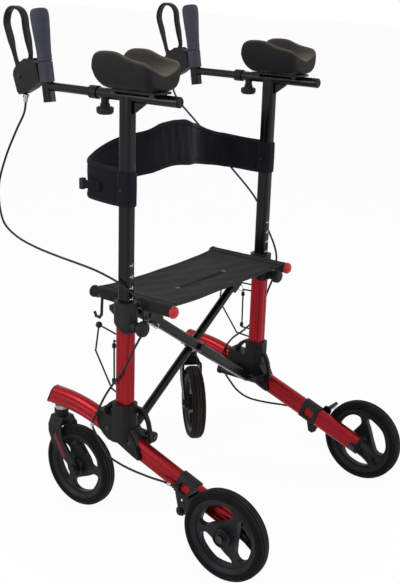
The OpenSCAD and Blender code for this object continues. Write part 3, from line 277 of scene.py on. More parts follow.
# Node graphs
class Finish:
    """A procedural material: its shader, the place on the piece, and short ways to add nodes."""

    def __init__(self, name, **sockets):
        self.material = bpy.data.materials.new(name)
        self.material.use_nodes = True
        self.tree = self.material.node_tree
        self.shader = self.tree.nodes["Principled BSDF"]
        self.place = self.add("TexCoord").outputs["Object"]
        for key, value in sockets.items():
            self.shader.inputs[key.replace("_", " ")].default_value = value

    def add(self, kind, values=None, **settings):
        """A new shader node with its settings; values go to its sockets as numbers or links."""
        node = self.tree.nodes.new("ShaderNode" + kind)
        for key, value in settings.items():
            setattr(node, key, value)
        for key, value in (values or {}).items():
            if isinstance(value, bpy.types.NodeSocket):
                self.tree.links.new(value, node.inputs[key])
            else:
                node.inputs[key].default_value = value
        return node

    def feed(self, output, socket):
        self.tree.links.new(output, self.shader.inputs[socket])

    def stretched(self, scale):
        values = {"Vector": self.place, "Scale": scale}
        return self.add("Mapping", values).outputs[0]

    def noise(self, scale, detail=3.0, place=None):
        values = {"Vector": place or self.place, "Scale": scale, "Detail": detail}
        return self.add("TexNoise", values).outputs["Fac"]

    def cells(self, scale):
        values = {"Vector": self.place, "Scale": scale}
        return self.add("TexVoronoi", values, feature="F1").outputs[0]

    def wave(self, scale, direction, place=None):
        values = {"Vector": place or self.place, "Scale": scale}
        node = self.add("TexWave", values, wave_type="BANDS", bands_direction=direction)
        return node.outputs["Fac"]

    def ramp(self, factor, stops):
        node = self.add("ValToRGB", {"Fac": factor})
        band = node.color_ramp
        while len(band.elements) < len(stops):
            band.elements.new(0.5)
        for element, (place, color) in zip(band.elements, stops):
            element.position = place
            element.color = (*color, 1)
        return node.outputs["Color"]

    def grey(self, factor, low, high, start=0.0, end=1.0):
        node = self.add("MapRange", {
            "Value": factor, "From Min": start, "From Max": end, "To Min": low, "To Max": high,
        })
        return node.outputs["Result"]

    def math(self, operation, a, b=0.5):
        return self.add("Math", {0: a, 1: b}, operation=operation).outputs[0]

    def mix(self, factor, a, b):
        node = self.add("Mix", {"Factor": factor}, data_type="RGBA")
        for slot, value in ((6, a), (7, b)):
            if isinstance(value, bpy.types.NodeSocket):
                self.tree.links.new(value, node.inputs[slot])
            else:
                node.inputs[slot].default_value = (*value, 1)
        return node.outputs[2]

    def facing(self):
        return self.add("TexCoord").outputs["Normal"]

    def coordinate(self, axis):
        return self.add("SeparateXYZ", {0: self.place}).outputs[axis]

    def round_edges(self, radius):
        return self.add("Bevel", {"Radius": radius}, samples=4).outputs[0]

    def bump(self, height, strength, distance, normal=None):
        values = {"Height": height, "Strength": strength, "Distance": distance}
        if normal is not None:
            values["Normal"] = normal
        return self.add("Bump", values).outputs[0]

    def surface(self, spots, rough, grain, strength, depth, edge, detail=3.0):
        """Uneven roughness, a fine grain and softened edges."""
        self.feed(self.grey(self.noise(spots), *rough), "Roughness")
        height = self.noise(grain, detail)
        self.feed(self.bump(height, strength, depth, self.round_edges(edge)), "Normal")


def red_anodised(name, along):
    """Red anodised aluminium, with faint drawn lines along the tube."""
    f = Finish(name, Metallic=0.85, Roughness=0.34)
    scale = [700, 700, 700]
    scale["XYZ".index(along)] = 6
    lines = f.noise(1.0, 4.0, f.stretched(scale))
    cloud = f.noise(9.0)
    tone = f.math("ADD", f.math("MULTIPLY", lines, 0.55), f.math("MULTIPLY", cloud, 0.45))
    f.feed(f.ramp(tone, [(0.3, (0.21, 0.006, 0.010)), (0.7, (0.33, 0.013, 0.020))]), "Base Color")
    f.feed(f.grey(lines, 0.24, 0.32), "Roughness")
    f.feed(f.bump(lines, 0.04, 0.0003, f.round_edges(0.0008)), "Normal")
    return f.material


def black_lacquer():
    """Satin black lacquer on the posts, arms and braces."""
    f = Finish("black_lacquer", Roughness=0.22, Specular_IOR_Level=0.2)
    cloud = f.noise(24.0, 4.0)
    f.feed(f.ramp(cloud, [(0.3, (0.0020, 0.0018, 0.0020)), (0.75, (0.0046, 0.0041, 0.0042))]), "Base Color")
    f.surface(160.0, (0.15, 0.28), grain=900.0, strength=0.12, depth=0.0003, edge=0.001, detail=2.0)
    return f.material


def moulded_plastic(name, dark, light, rough):
    """Moulded plastic with a spark-eroded grain and slightly rubbed patches."""
    f = Finish(name, Roughness=rough, Specular_IOR_Level=0.15)
    cloud = f.noise(18.0, 4.0)
    f.feed(f.ramp(cloud, [(0.32, dark), (0.72, light)]), "Base Color")
    uneven = (rough - 0.08, rough + 0.1)
    f.surface(70.0, uneven, grain=1400.0, strength=0.25, depth=0.0004, edge=0.0012, detail=2.0)
    return f.material


def grip_rubber():
    """Matt grip rubber with a fine pebble and a bluish bloom."""
    f = Finish("grip_rubber", Roughness=0.55, Specular_IOR_Level=0.22)
    cloud = f.noise(30.0, 4.0)
    f.feed(f.ramp(cloud, [(0.3, (0.024, 0.027, 0.038)), (0.75, (0.040, 0.045, 0.062))]), "Base Color")
    f.feed(f.grey(f.noise(120.0), 0.5, 0.72), "Roughness")
    f.feed(f.bump(f.cells(900.0), 0.2, 0.0004, f.round_edges(0.001)), "Normal")
    return f.material


def trough_foam():
    """Skinned foam of the troughs: a fine pebbled skin, with painted light from above: faces turned up, as in
    the floor, are lighter and browner.
    """
    f = Finish("trough_foam", Roughness=0.5, Specular_IOR_Level=0.16)
    cloud = f.noise(16.0, 4.0)
    skin = f.ramp(cloud, [(0.3, (0.0026, 0.0024, 0.0034)), (0.75, (0.0056, 0.0052, 0.0068))])
    # painted light from above: faces turned up, as in the floor, are lighter and browner
    up = f.add("SeparateXYZ", {0: f.facing()}).outputs["Z"]
    lit_top_share = f.grey(up, 0.0, 0.9, 0.1, 0.8)
    f.feed(f.mix(lit_top_share, skin, (0.102, 0.093, 0.071)), "Base Color")
    f.feed(f.grey(f.noise(60.0), 0.46, 0.66), "Roughness")
    pebble = f.math("ADD", f.math("MULTIPLY", f.cells(620.0), 0.6), f.math("MULTIPLY", f.noise(1500.0), 0.4))
    f.feed(f.bump(pebble, 0.22, 0.0005), "Normal")
    return f.material


def plated_steel():
    """Bright zinc plate, slightly clouded."""
    f = Finish("plated_steel", Metallic=1.0, Roughness=0.28)
    cloud = f.noise(90.0, 4.0)
    f.feed(f.ramp(cloud, [(0.3, (0.34, 0.34, 0.35)), (0.75, (0.56, 0.56, 0.57))]), "Base Color")
    f.surface(260.0, (0.2, 0.38), grain=1200.0, strength=0.1, depth=0.0003, edge=0.0005)
    return f.material


def tyre_rubber(name, axle):
    """Dark tyre rubber, with a painted highlight: lighter and browner on the tread than on the walls beside
    the axle's direction.
    """
    f = Finish(name, Roughness=0.7, Specular_IOR_Level=0.1)
    cloud = f.noise(26.0, 5.0)
    wall = f.ramp(cloud, [(0.3, (0.0018, 0.0017, 0.0020)), (0.72, (0.0044, 0.0040, 0.0042))])
    # painted highlight: the tread is lighter and browner than the walls
    tread = f.ramp(cloud, [(0.3, (0.0130, 0.0110, 0.0090)), (0.72, (0.0270, 0.0230, 0.0190))])
    across = f.add("VectorMath", {0: f.facing(), 1: axle}, operation="DOT_PRODUCT").outputs["Value"]
    f.feed(f.mix(f.grey(f.math("ABSOLUTE", across), 1.0, 0.0, 0.25, 0.75), wall, tread), "Base Color")
    f.surface(150.0, (0.6, 0.85), grain=800.0, strength=0.35, depth=0.0005, edge=0.0008, detail=4.0)
    return f.material


def woven_cloth(name, dark, light, threads, sheen=0.04):
    """Plain weave: two sets of threads, slubs, painted shade in the gaps between the threads and a soft
    sheen, on the cloth's own grid.
    """
    f = Finish(name, Roughness=0.8, Specular_IOR_Level=0.1, Sheen_Weight=sheen, Sheen_Roughness=0.45)
    grid = f.add("UVMap", uv_map="cloth").outputs["UV"]
    warp = f.wave(threads, "X", grid)
    weft = f.wave(threads, "Y", grid)
    weave = f.math("MULTIPLY", f.math("ADD", warp, weft), 0.5)
    slub = f.noise(1.0, 3.0, f.add("Mapping", {"Vector": grid, "Scale": (40, 900, 1)}).outputs[0])
    cloud = f.noise(14.0, 4.0)
    tone = f.math("ADD", f.math("MULTIPLY", cloud, 0.8), f.math("MULTIPLY", slub, 0.2))
    shade = f.ramp(tone, [(0.3, dark), (0.7, light)])
    # painted shade: the gaps between the threads are darker
    shaded_pits = f.grey(weave, 0.72, 1.0)
    f.feed(f.mix(shaded_pits, (dark[0] * 0.5, dark[1] * 0.5, dark[2] * 0.5), shade), "Base Color")
    crease = f.noise(38.0, 4.0)
    height = f.math("ADD", f.math("MULTIPLY", weave, 0.35), f.math("MULTIPLY", crease, 0.65))
    f.feed(f.bump(height, 0.35, 0.0012), "Normal")
    return f.material


def thread(name, color):
    """Twisted sewing thread, with painted shade in the grooves of its twist."""
    f = Finish(name, Roughness=0.9, Specular_IOR_Level=0.05)
    twist = f.wave(900.0, "DIAGONAL")
    # painted shade: the grooves of the twist are darker
    low = tuple(c * 0.6 for c in color)
    f.feed(f.ramp(twist, [(0.2, low), (0.8, color)]), "Base Color")
    f.feed(f.bump(twist, 0.3, 0.0002), "Normal")
    return f.material


def cable_jacket():
    """Smooth black outer of a brake cable."""
    f = Finish("cable_jacket", Roughness=0.35, Specular_IOR_Level=0.2)
    cloud = f.noise(60.0)
    f.feed(f.ramp(cloud, [(0.3, (0.004, 0.004, 0.005)), (0.75, (0.010, 0.010, 0.011))]), "Base Color")
    f.feed(f.grey(f.noise(200.0), 0.3, 0.45), "Roughness")
    return f.material


def reflector_lens():
    """Dark red lens with a honeycomb of small cells behind it."""
    f = Finish("reflector_lens", Roughness=0.3, Specular_IOR_Level=0.2)
    cell = f.cells(420.0)
    f.feed(f.ramp(cell, [(0.0, (0.20, 0.009, 0.012)), (0.6, (0.080, 0.004, 0.006))]), "Base Color")
    f.feed(f.bump(cell, 0.25, 0.0006), "Normal")
    return f.material


def white_print():
    """Printed height marks, a little worn."""
    f = Finish("white_print", Roughness=0.5)
    f.feed(f.ramp(f.noise(500.0, 4.0), [(0.35, (0.45, 0.45, 0.44)), (0.6, (0.80, 0.80, 0.78))]), "Base Color")
    return f.material


def dark_steel(name="dark_steel", bearing=False):
    """Blackened steel of the screws and axles; the stem bearing at the front can stay bright."""
    f = Finish(name, Metallic=1.0, Roughness=0.4)
    cloud = f.noise(90.0, 4.0)
    tone = f.ramp(cloud, [(0.3, (0.030, 0.030, 0.032)), (0.75, (0.070, 0.070, 0.073))])
    if bearing:
        bright = f.ramp(cloud, [(0.3, (0.30, 0.30, 0.31)), (0.75, (0.48, 0.48, 0.49))])
        tone = f.mix(f.math("GREATER_THAN", f.coordinate("Y"), 0.19), tone, bright)
    f.feed(tone, "Base Color")
    f.surface(260.0, (0.32, 0.5), grain=1200.0, strength=0.1, depth=0.0003, edge=0.0006)
    return f.material


def lever_moulding():
    """Lever housing: black, with a painted bluish reflection on the collar round the leaning hand post."""
    f = Finish("lever_moulding", Roughness=0.48, Specular_IOR_Level=0.17)
    cloud = f.noise(18.0, 4.0)
    black = f.ramp(cloud, [(0.32, (0.0045, 0.0043, 0.0048)), (0.72, (0.0090, 0.0086, 0.0095))])
    # painted reflection: the collar round the hand post is painted bluish
    bluish_reflection = f.ramp(cloud, [(0.32, (0.022, 0.025, 0.035)), (0.72, (0.036, 0.041, 0.056))])
    behind = f.math("SUBTRACT", f.coordinate("Y"), f.math("MULTIPLY", f.coordinate("Z"), 0.153))
    f.feed(f.mix(f.math("LESS_THAN", behind, 0.1150), black, bluish_reflection), "Base Color")
    f.surface(70.0, (0.4, 0.58), grain=1400.0, strength=0.25, depth=0.0004, edge=0.0012)
    return f.material


def rail_lacquer():
    """Black rail whose rear end cap is red: the colour changes at the cap's edge."""
    f = Finish("rail_lacquer", Roughness=0.32, Specular_IOR_Level=0.25)
    cloud = f.noise(24.0, 4.0)
    black = f.ramp(cloud, [(0.3, (0.0040, 0.0037, 0.0038)), (0.75, (0.0085, 0.0076, 0.0076))])
    red = f.ramp(cloud, [(0.3, (0.30, 0.010, 0.015)), (0.75, (0.44, 0.020, 0.028))])
    behind = f.math("LESS_THAN", f.coordinate("Y"), -0.0711)
    f.feed(f.mix(behind, black, red), "Base Color")
    f.surface(160.0, (0.26, 0.4), grain=900.0, strength=0.1, depth=0.0003, edge=0.0008)
    return f.material


turned = math.radians(TURN["right"])
FINISHES = {
    "red_z": red_anodised("red_anodised_upright", "Z"),
    "red_y": red_anodised("red_anodised_bar", "Y"),
    "black_metal": black_lacquer(),
    "black_plastic": moulded_plastic(
        "black_moulding", (0.0030, 0.0028, 0.0034), (0.0066, 0.0062, 0.0072), 0.42
    ),
    "grey_plastic": moulded_plastic(
        "grey_moulding", (0.0090, 0.0088, 0.0100), (0.0185, 0.0180, 0.0205), 0.5
    ),
    "wheel_plastic": moulded_plastic(
        "wheel_moulding", (0.0062, 0.0058, 0.0072), (0.0130, 0.0122, 0.0148), 0.45
    ),
    "grip_rubber": grip_rubber(),
    "pad_foam": trough_foam(),
    "steel": plated_steel(),
    "tyre": tyre_rubber("tyre_rubber", (1, 0, 0)),
    "turned_tyre": tyre_rubber("turned_tyre_rubber", (math.cos(turned), math.sin(turned), 0)),
    "dark_steel": dark_steel(),
    "fastener": dark_steel("fastener_steel", True),
    "housing": lever_moulding(),
    "cable": cable_jacket(),
    "rail": rail_lacquer(),
    "seat_cloth": woven_cloth("seat_weave", (0.0105, 0.0098, 0.0094), (0.0210, 0.0196, 0.0188), 160.0),
    "belt_cloth": woven_cloth("belt_weave", (0.0038, 0.0035, 0.0062), (0.0085, 0.0080, 0.0135), 190.0),
    "binding": woven_cloth("binding_weave", (0.0060, 0.0058, 0.0075), (0.0120, 0.0116, 0.0150), 220.0),
    "dark_thread": thread("dark_thread", (0.007, 0.007, 0.008)),
    "light_thread": thread("light_thread", (0.22, 0.21, 0.20)),
    "lens": reflector_lens(),
    "white_print": white_print(),
}


def dress(obj, finish, body):
    """Gives a new piece its finish and, where one is named, its body."""
    obj.data.materials.clear()
    obj.data.materials.append(FINISHES[finish])
    if body:
        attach(obj, body)


# Finishes of the CAD nodes, by their record slot, with a few of their own
slot_of = {part["node"]: part["material_slot"] for part in frame["record"]["subparts"]}
OWN_FINISH = {
    "side_bar": "red_y", "upright_tube": "red_z", "seat_rail": "rail", "rear_rim": "wheel_plastic",
    "front_rim": "wheel_plastic", "frame_fasteners": "fastener", "pad_bolts": "dark_steel",
    "lever_housing": "housing", "right_front_tyre": "turned_tyre",
}
for name, node in nodes.items():
    kind = name.split("_", 1)[1]
    node.data.materials.clear()
    node.data.materials.append(FINISHES[OWN_FINISH.get(name, OWN_FINISH.get(kind, slot_of[name]))])


# Camera
camera = bpy.data.objects.new("camera", bpy.data.cameras.new("camera"))
link(camera)
bpy.context.scene.camera = camera
yaw, pitch, roll = (math.radians(a) for a in (YAW, PITCH, ROLL))
look = Vector((math.sin(yaw) * math.cos(pitch), math.cos(yaw) * math.cos(pitch), -math.sin(pitch)))
camera.location = EYE
camera.rotation_mode = "QUATERNION"
camera.rotation_quaternion = look.to_track_quat("-Z", "Y") @ Quaternion((0, 0, 1), roll)
camera.data.sensor_width = SENSOR
camera.data.lens = FOCAL_PX * SENSOR / max(PICTURE)
camera.data.shift_x = (PICTURE[0] / 2 - AXIS_PX[0]) / max(PICTURE)
camera.data.shift_y = (AXIS_PX[1] - PICTURE[1] / 2) / max(PICTURE)
camera.data.clip_end = 50

# Brake cables, along the routes of their nodes: points for the right side, in millimetres
CABLE_D = 0.005
CABLE_TOP = (259, 314.6, 917)
ROUTES = {
    "left": {
        "upper": [(262, 318, 893), (271, 334, 855), (281, 356, 800), (289, 371, 745), (290, 374.5, 702)],
        "lower": [
            (290, 361, 651), (290, 321, 625), (289, 267, 611), (287, 202, 602), (284, 135, 595),
            (281, 89, 588.5), (278.5, 45, 578), (277.5, 25, 571), (276, 12, 564), (272, 6.5, 558.5),
            (265.7, 4, 552), (258.3, 2, 542.5), (251.5, -2, 531.5), (246, -5, 520), (242.5, -8, 500),
            (246, -10, 466), (262, -12, 452), (276, -8, 430), (280, 10, 388), (280, 38, 350),
            (281, 64, 311), (281, 88, 265), (281, 103, 230), (281, 95, 212), (281, 74, 185),
            (281, 48, 164), (281, -4, 155), (281, -60, 154), (279, -100, 155), (276, -124, 152),
        ],
        "still": (281, 89, 588.5),
        "ferrules": [(281, 103, 230), (277, -116, 153.5)],
    },
    "right": {
        "upper": [(260, 314, 900), (261, 292, 872), (262, 240, 830)],
        "lower": [
            (262, 186, 782), (264, 134, 733), (270, 85, 688), (276, 54, 650), (277, 22, 590),
            (280, 0, 545), (284, -4, 510), (285, 2, 470), (281, 14, 430), (280, 30, 380),
            (279, 52, 340), (272, 76, 310), (256, 98, 288), (240, 110, 262), (234, 115, 232),
            (234, 114, 208), (235, 102, 191), (236, 86, 174), (237, 64, 155), (239, 30, 143),
            (242, -20, 144), (252, -62, 146), (266, -90, 144), (274, -110, 149), (276, -124, 152),
        ],
        "still": (277, 22, 590),
        "ferrules": [(234, 115, 232), (275.2, -116, 150.5)],
    },
}


def on_side(point, sign):
    """A point given in millimetres for the right side, on either side, in metres."""
    return Vector((sign * point[0], point[1], point[2])) / 1000


def cable(name, line):
    """A round cable along its route, as a mesh tube."""
    curve = bpy.data.curves.new(name, "CURVE")
    curve.dimensions = "3D"
    curve.bevel_depth = CABLE_D / 2
    curve.bevel_resolution = 3
    curve.use_fill_caps = True
    spline = curve.splines.new("POLY")
    spline.points.add(len(line) - 1)
    for point, p in zip(spline.points, line):
        point.co = (*p, 1)
    obj = bpy.data.objects.new(name, curve)
    link(obj)
    activate(obj)
    bpy.ops.object.convert(target="MESH")
    obj = bpy.context.object
    shade_smooth(obj.data)
    return obj


CABLE_STEPS = 6
FERRULE_L, FERRULE_R, FERRULE_GROOVE = 0.009, 0.0042, 0.0003
for side, sign in SIDES.items():
    route = ROUTES[side]
    stops = [CABLE_TOP, *route["upper"], *route["lower"]]
    whole = smooth_line([on_side(p, sign) for p in stops], CABLE_STEPS)
    cut = CABLE_STEPS * (1 + len(route["upper"]))
    line = whole[:cut + 1]
    upper = cable(f"{side}_upper_brake_cable", line)
    dress(upper, "cable", None)
    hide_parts(f"{side}_upper_cable")
    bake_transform(upper)
    line = whole[cut:]
    lower = cable(f"{side}_lower_brake_cable", line)
    dress(lower, "cable", None)
    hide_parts(f"{side}_lower_cable")
    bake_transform(lower)
    # steel ferrules where the cable is held
    rings = []
    for near in route["ferrules"]:
        at = min(range(1, len(line) - 1), key=lambda i: (line[i] - on_side(near, sign)).length)
        along = (line[at + 1] - line[at - 1]).normalized()
        ring = sleeve("ferrule", FERRULE_R, CABLE_D / 2 + 0.0001, FERRULE_L, FERRULE_GROOVE, 20)
        place_mesh(ring, turn_to(along, line[at] - along * (FERRULE_L / 2)))
        rings.append(ring)
    dress(joined(f"{side}_cable_ferrules", rings), "steel", f"{side}_frame")


# Seat sling: a hem round each rail and the stretched cloth between them
SEAT_T = 0.0018
HEM_T = 0.0012
HEM_R = RAIL_R + 0.0009
SPAN_X = RAIL_X - 0.0065
# Height of the cloth's middle layer at the rails, height of its ripples and pull of its free edges
SEAT_TOP, RIPPLE_H, EDGE_PULL = RAIL_Z + RAIL_R - 0.0002, 0.0006, 0.004
# Stretches where the hem is cut away under the rail for the lugs, and the share of the hem that is left
HEM_CUTS = [(0.0045, 0.0625), (0.121, 0.135)]


def seat_height(x, y):
    """Height of the cloth's middle layer over the seat."""
    u = min(abs(x) / SPAN_X, 1)
    v = abs(2 * (y - SEAT_Y0) / SEAT_L - 1)
    sag = SEAT_SAG * (1 - u**4) * (0.72 + 0.28 * (1 - v**3))
    return SEAT_TOP - sag


def lay_weave(obj, place):
    """Gives cloth its weave's grid, in metres; place turns a vertex's number into a spot on it."""
    layer = obj.data.uv_layers.new(name="cloth")
    for loop in obj.data.loops:
        layer.data[loop.index].uv = place(loop.vertex_index)


def sheet_mesh(name, columns, rows, point, width, length, keep=None):
    """An open sheet from a grid of points, with its weave laid over its flat size."""
    points = [point(i / (columns - 1), j / (rows - 1)) for i in range(columns) for j in range(rows)]
    faces = [
        (i * rows + j, (i + 1) * rows + j, (i + 1) * rows + j + 1, i * rows + j + 1)
        for i in range(columns - 1) for j in range(rows - 1)
        if keep is None or keep((i + 0.5) / (columns - 1), (j + 0.5) / (rows - 1))
    ]
    obj = mesh_object(name, points, faces)
    lay_weave(obj, lambda v: (width * (v // rows) / (columns - 1), length * (v % rows) / (rows - 1)))
    return obj


def seat_point(u, v):
    """A point of the sling, with its ripples and the pull of its front and rear edges."""
    x = SPAN_X * (2 * u - 1)
    y = SEAT_Y0 + SEAT_L * v
    ripple = RIPPLE_H * math.sin(34 * x) * math.sin(9 * math.pi * v + 20 * x) * (1 - abs(2 * u - 1) ** 6)
    pull = EDGE_PULL * (1 - (2 * u - 1) ** 2) * (2 * v - 1)
    return Vector((x, y - pull, seat_height(x, y) + ripple))


span = sheet_mesh("seat_cloth", 81, 41, seat_point, 2 * SPAN_X, SEAT_L)
apply_modifier(span, "SOLIDIFY", thickness=SEAT_T, offset=0)
apply_modifier(span, "SUBSURF", levels=1, render_levels=1)
dress(span, "seat_cloth", "left_rail")
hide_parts("seat_sling")
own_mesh(span)


def hem_point(sign, u, v):
    """A point of a hem: once round the rail from below, slightly swollen."""
    a = math.radians(-180 + 360 * u)
    r = HEM_R + 0.0002 * math.sin(40 * v) * math.sin(3 * a)
    return Vector((sign * RAIL_X + r * math.sin(a), SEAT_Y0 + SEAT_L * v, RAIL_Z + r * math.cos(a)))


def hem_kept(u, v):
    """Whether a hem has cloth at a spot: not under the rail beside a lug."""
    under = abs(u - 0.5) > 0.26
    return not (under and any(a < SEAT_Y0 + SEAT_L * v < b for a, b in HEM_CUTS))


for side, sign in SIDES.items():
    point = partial(hem_point, sign)
    hem = sheet_mesh(f"{side}_seat_hem", 41, 86, point, 2 * math.pi * HEM_R, SEAT_L, hem_kept)
    apply_modifier(hem, "WELD", merge_threshold=0.0001)
    apply_modifier(hem, "SOLIDIFY", thickness=HEM_T, offset=0)
    dress(hem, "seat_cloth", f"{side}_rail")


# Stitches: short threads laid along a line. Pitch, length and radius of each kind
SEAT_STITCH = (0.0046, 0.0033, 0.00045)
TACK_STITCH = (0.0138, 0.0125, 0.0007)
BELT_STITCH = (0.0049, 0.0034, 0.00045)
# Form of a thread: place along it and share of its radius
THREAD_FORM = ((-0.5, 0.35), (-0.3, 1), (0.3, 1), (0.5, 0.35))
THREAD_SIDES = 5


def stitches(name, line, pitch, length, radius, lift):
    """Threads along a line of points, lifted off the cloth; all in one mesh."""
    points, faces = [], []
    count = int(line_length(line) / pitch)
    walk = 0.0
    marks = [(k + 0.5) * pitch for k in range(count)]
    for a, b in zip(line, line[1:]):
        step = (b - a).length
        while marks and marks[0] <= walk + step:
            t = (marks.pop(0) - walk) / step
            middle = a.lerp(b, t) + lift
            along = (b - a).normalized()
            side = along.cross(lift.normalized())
            up = side.cross(along)
            base = len(points)
            for s, r in THREAD_FORM:
                for k in range(THREAD_SIDES):
                    q = 2 * math.pi * k / THREAD_SIDES
                    outward = side * math.cos(q) + up * math.sin(q)
                    points.append(middle + along * (s * length) + outward * radius * r)
            thread_faces = ring_faces(len(THREAD_FORM), THREAD_SIDES)
            faces += [tuple(base + corner for corner in face) for face in thread_faces]
        walk += step
    return mesh_object(name, points, faces)


UP = Vector((0, 0, 1))
# Two seams beside each hem and one along each free edge, by their distance from it
HEM_SEAMS, EDGE_SEAM = (0.012, 0.017), 0.011
seams = []
for sign in SIDES.values():
    for inset in HEM_SEAMS:
        x = sign * (SPAN_X - inset)
        line = [Vector((x, y, seat_height(x, y))) for y in
                [SEAT_Y0 + 0.004 + k * 0.0051 for k in range(41)]]
        seams.append(stitches("seam", line, *SEAT_STITCH, UP * (SEAT_T / 2 + 0.0005)))
for end, inward in ((0, 1), (1, -1)):
    line = []
    for k in range(61):
        p = seat_point(0.03 + 0.94 * k / 60, end)
        line.append(p + Vector((0, inward * EDGE_SEAM, 0)))
    seams.append(stitches("seam", line, *SEAT_STITCH, UP * (SEAT_T / 2 + 0.0006)))
seat_seams = joined("seat_stitches", seams)
dress(seat_seams, "dark_thread", "left_rail")
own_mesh(seat_seams)

# The slit across the seat, with a welt on each side and a bar tack at each end
SLIT_Y, SLIT_HALF = 0.020, 0.083
WELT_OFFSET, WELT_W, WELT_H = 0.0028, 0.0045, 0.0022
TACK_GAP, TACK_STEP, TACK_COUNT = 0.002, 0.0016, 5
welts = []
for offset in (-WELT_OFFSET, WELT_OFFSET):
    line = [Vector((x, SLIT_Y + offset, seat_height(x, SLIT_Y) + SEAT_T / 2 + 0.0003)) for x in
            [SLIT_HALF * (2 * k / 40 - 1) for k in range(41)]]
    welts.append(swept_tube("welt", line, [Vector((0, 1, 0))] * 41, [UP] * 41, WELT_W, WELT_H))
slit = joined("seat_slit_welts", welts)
lay_weave(slit, lambda v: slit.data.vertices[v].co.xy)
dress(slit, "binding", "left_rail")
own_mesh(slit)
tacks = []
for end in (-1, 1):
    for k in range(TACK_COUNT):
        x = end * (SLIT_HALF + TACK_GAP + TACK_STEP * k)
        line = [Vector((x, SLIT_Y - 0.007 + 0.002 * j, seat_height(x, SLIT_Y))) for j in range(8)]
        tacks.append(stitches("tack", line, *TACK_STITCH, UP * (SEAT_T / 2 + 0.0006)))
seat_tacks = joined("seat_bar_tacks", tacks)
dress(seat_tacks, "light_thread", "left_rail")
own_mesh(seat_tacks)


# Backrest belt: a padded span with gathers in its raised middle, bound edges and a sleeve on each post
# Stations along half of the belt, in millimetres: place across, place along, lower and upper edge
BELT_HALF = [
    (259, 37, 734, 808), (259, 67, 734, 808), (258, 95, 735, 809), (255, 122, 736, 811),
    (247, 143, 737, 814), (228, 154, 741, 818), (196, 160, 746, 828), (165, 157, 752, 839),
    (138, 149, 757, 847), (108, 134, 762, 853), (84, 121, 766, 858), (66, 115, 768, 864),
    (46, 113, 771, 870), (22, 112, 774, 872),
]
# Thickness of the pad, half of it at the edges, and the steps of its weave along and round it
BELT_T, BELT_EDGE_T = 0.0056, 0.0011
WEAVE_ALONG, WEAVE_ROUND = 0.0042, 0.0068
# Binding tape: its section, how far it reaches in, its sides, and the step of its weave round it
TAPE_W, TAPE_H, TAPE_IN, TAPE_SIDES, TAPE_WEAVE = 0.0078, 0.0125, 0.0030, 12, 0.0022
# The tape's seam, out from its middle and up or down from it, and the places of the upright seams
SEAM_OUT, SEAM_IN = 0.0036, 0.0044
UPRIGHT_SEAMS, UPRIGHT_SEAM_END = (-0.238, -0.222, 0.222, 0.238), 0.010
BELT_MIDDLE = [(0, 112, 775, 873)]
# Folds in the raised middle: half its width, two spacings and a depth
GATHER_HALF, GATHER_WIDE, GATHER_NARROW, GATHER_DEPTH = 0.085, 0.031, 0.0193, 0.0013


def belt_columns():
    """Belt stations from the left post to the right: place, both edges and the outward direction."""
    rows = [(-x, y, a, b) for x, y, a, b in BELT_HALF] + BELT_MIDDLE + BELT_HALF[::-1]
    track = smooth_line([(x / 1000, y / 1000, 0) for x, y, a, b in rows], 8)
    edges = smooth_line([(a / 1000, b / 1000, 0) for x, y, a, b in rows], 8)
    stations = []
    for i, p in enumerate(track):
        along = (track[min(i + 1, len(track) - 1)] - track[max(i - 1, 0)]).normalized()
        stations.append((p, edges[i].x, edges[i].y, Vector((-along.y, along.x, 0))))
    return stations


belt_stations = belt_columns()


def gather(x, s):
    """Depth of the vertical folds in the raised middle."""
    if abs(x) > GATHER_HALF:
        return 0.0
    fade = math.cos(math.pi * x / (2 * GATHER_HALF)) ** 0.7
    tilt = 0.010 * s
    wide = math.sin(2 * math.pi * (x + tilt) / GATHER_WIDE)
    narrow = math.sin(2 * math.pi * (x - 0.6 * tilt) / GATHER_NARROW + 1.1)
    return GATHER_DEPTH * fade * (wide + 0.55 * narrow) * (0.55 + 0.45 * abs(s))


def belt_span():
    """The padded span: a crowned front and rear face that meet at both edges."""
    half = 13
    points = []
    for p, z0, z1, out in belt_stations:
        for k in range(2 * half):
            front = k < half
            s = -1 + 2 * (k if front else 2 * half - 1 - k) / (half - 1)
            crown = max(0.0, 1 - abs(s) ** 5) ** 0.5
            quilt = 0.0005 * math.sin(25 * p.x + 3 * s) * (1 - s * s)
            half_t = BELT_EDGE_T + (BELT_T / 2 - BELT_EDGE_T) * crown
            depth = (half_t + quilt + gather(p.x, s)) * (1 if front else -1)
            if not front:
                depth += 2 * gather(p.x, s)
            z = (z0 + z1) / 2 + s * (z1 - z0) / 2
            points.append(Vector((p.x, p.y, z)) + out * depth)
    obj = mesh_object("backrest_pad", points, ring_faces(len(belt_stations), 2 * half))
    lay_weave(obj, lambda v: (WEAVE_ALONG * (v // (2 * half)), WEAVE_ROUND * (v % (2 * half))))
    return obj


belt = belt_span()
dress(belt, "belt_cloth", "left_post_body")
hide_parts("backrest_belt")
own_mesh(belt)
tapes, runs = [], []
for edge, sign in ((1, 1), (2, -1)):
    line = [Vector((st[0].x, st[0].y, st[edge] + sign * TAPE_IN)) for st in belt_stations]
    out = [st[3] for st in belt_stations]
    tapes.append(swept_tube("tape", line, out, [UP] * len(line), TAPE_W, TAPE_H, TAPE_SIDES))
    for face in (1, -1):
        run = [p + o * (face * SEAM_OUT) + UP * (sign * SEAM_IN) for p, o in zip(line, out)]
        runs.append((run, face))
binding = joined("belt_binding", tapes)
lay_weave(binding, lambda v: (WEAVE_ALONG * (v // TAPE_SIDES), TAPE_WEAVE * (v % TAPE_SIDES)))
dress(binding, "binding", "left_post_body")
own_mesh(binding)


def sewn_run(run, face):
    """Stitches along the belt, on its front or rear face."""
    parts = []
    for i in range(0, len(run) - 4, 4):
        out = belt_stations[i + 2][3] * face
        parts.append(stitches("run", run[i:i + 5], *BELT_STITCH, out * 0.0004))
    return joined("run", parts)


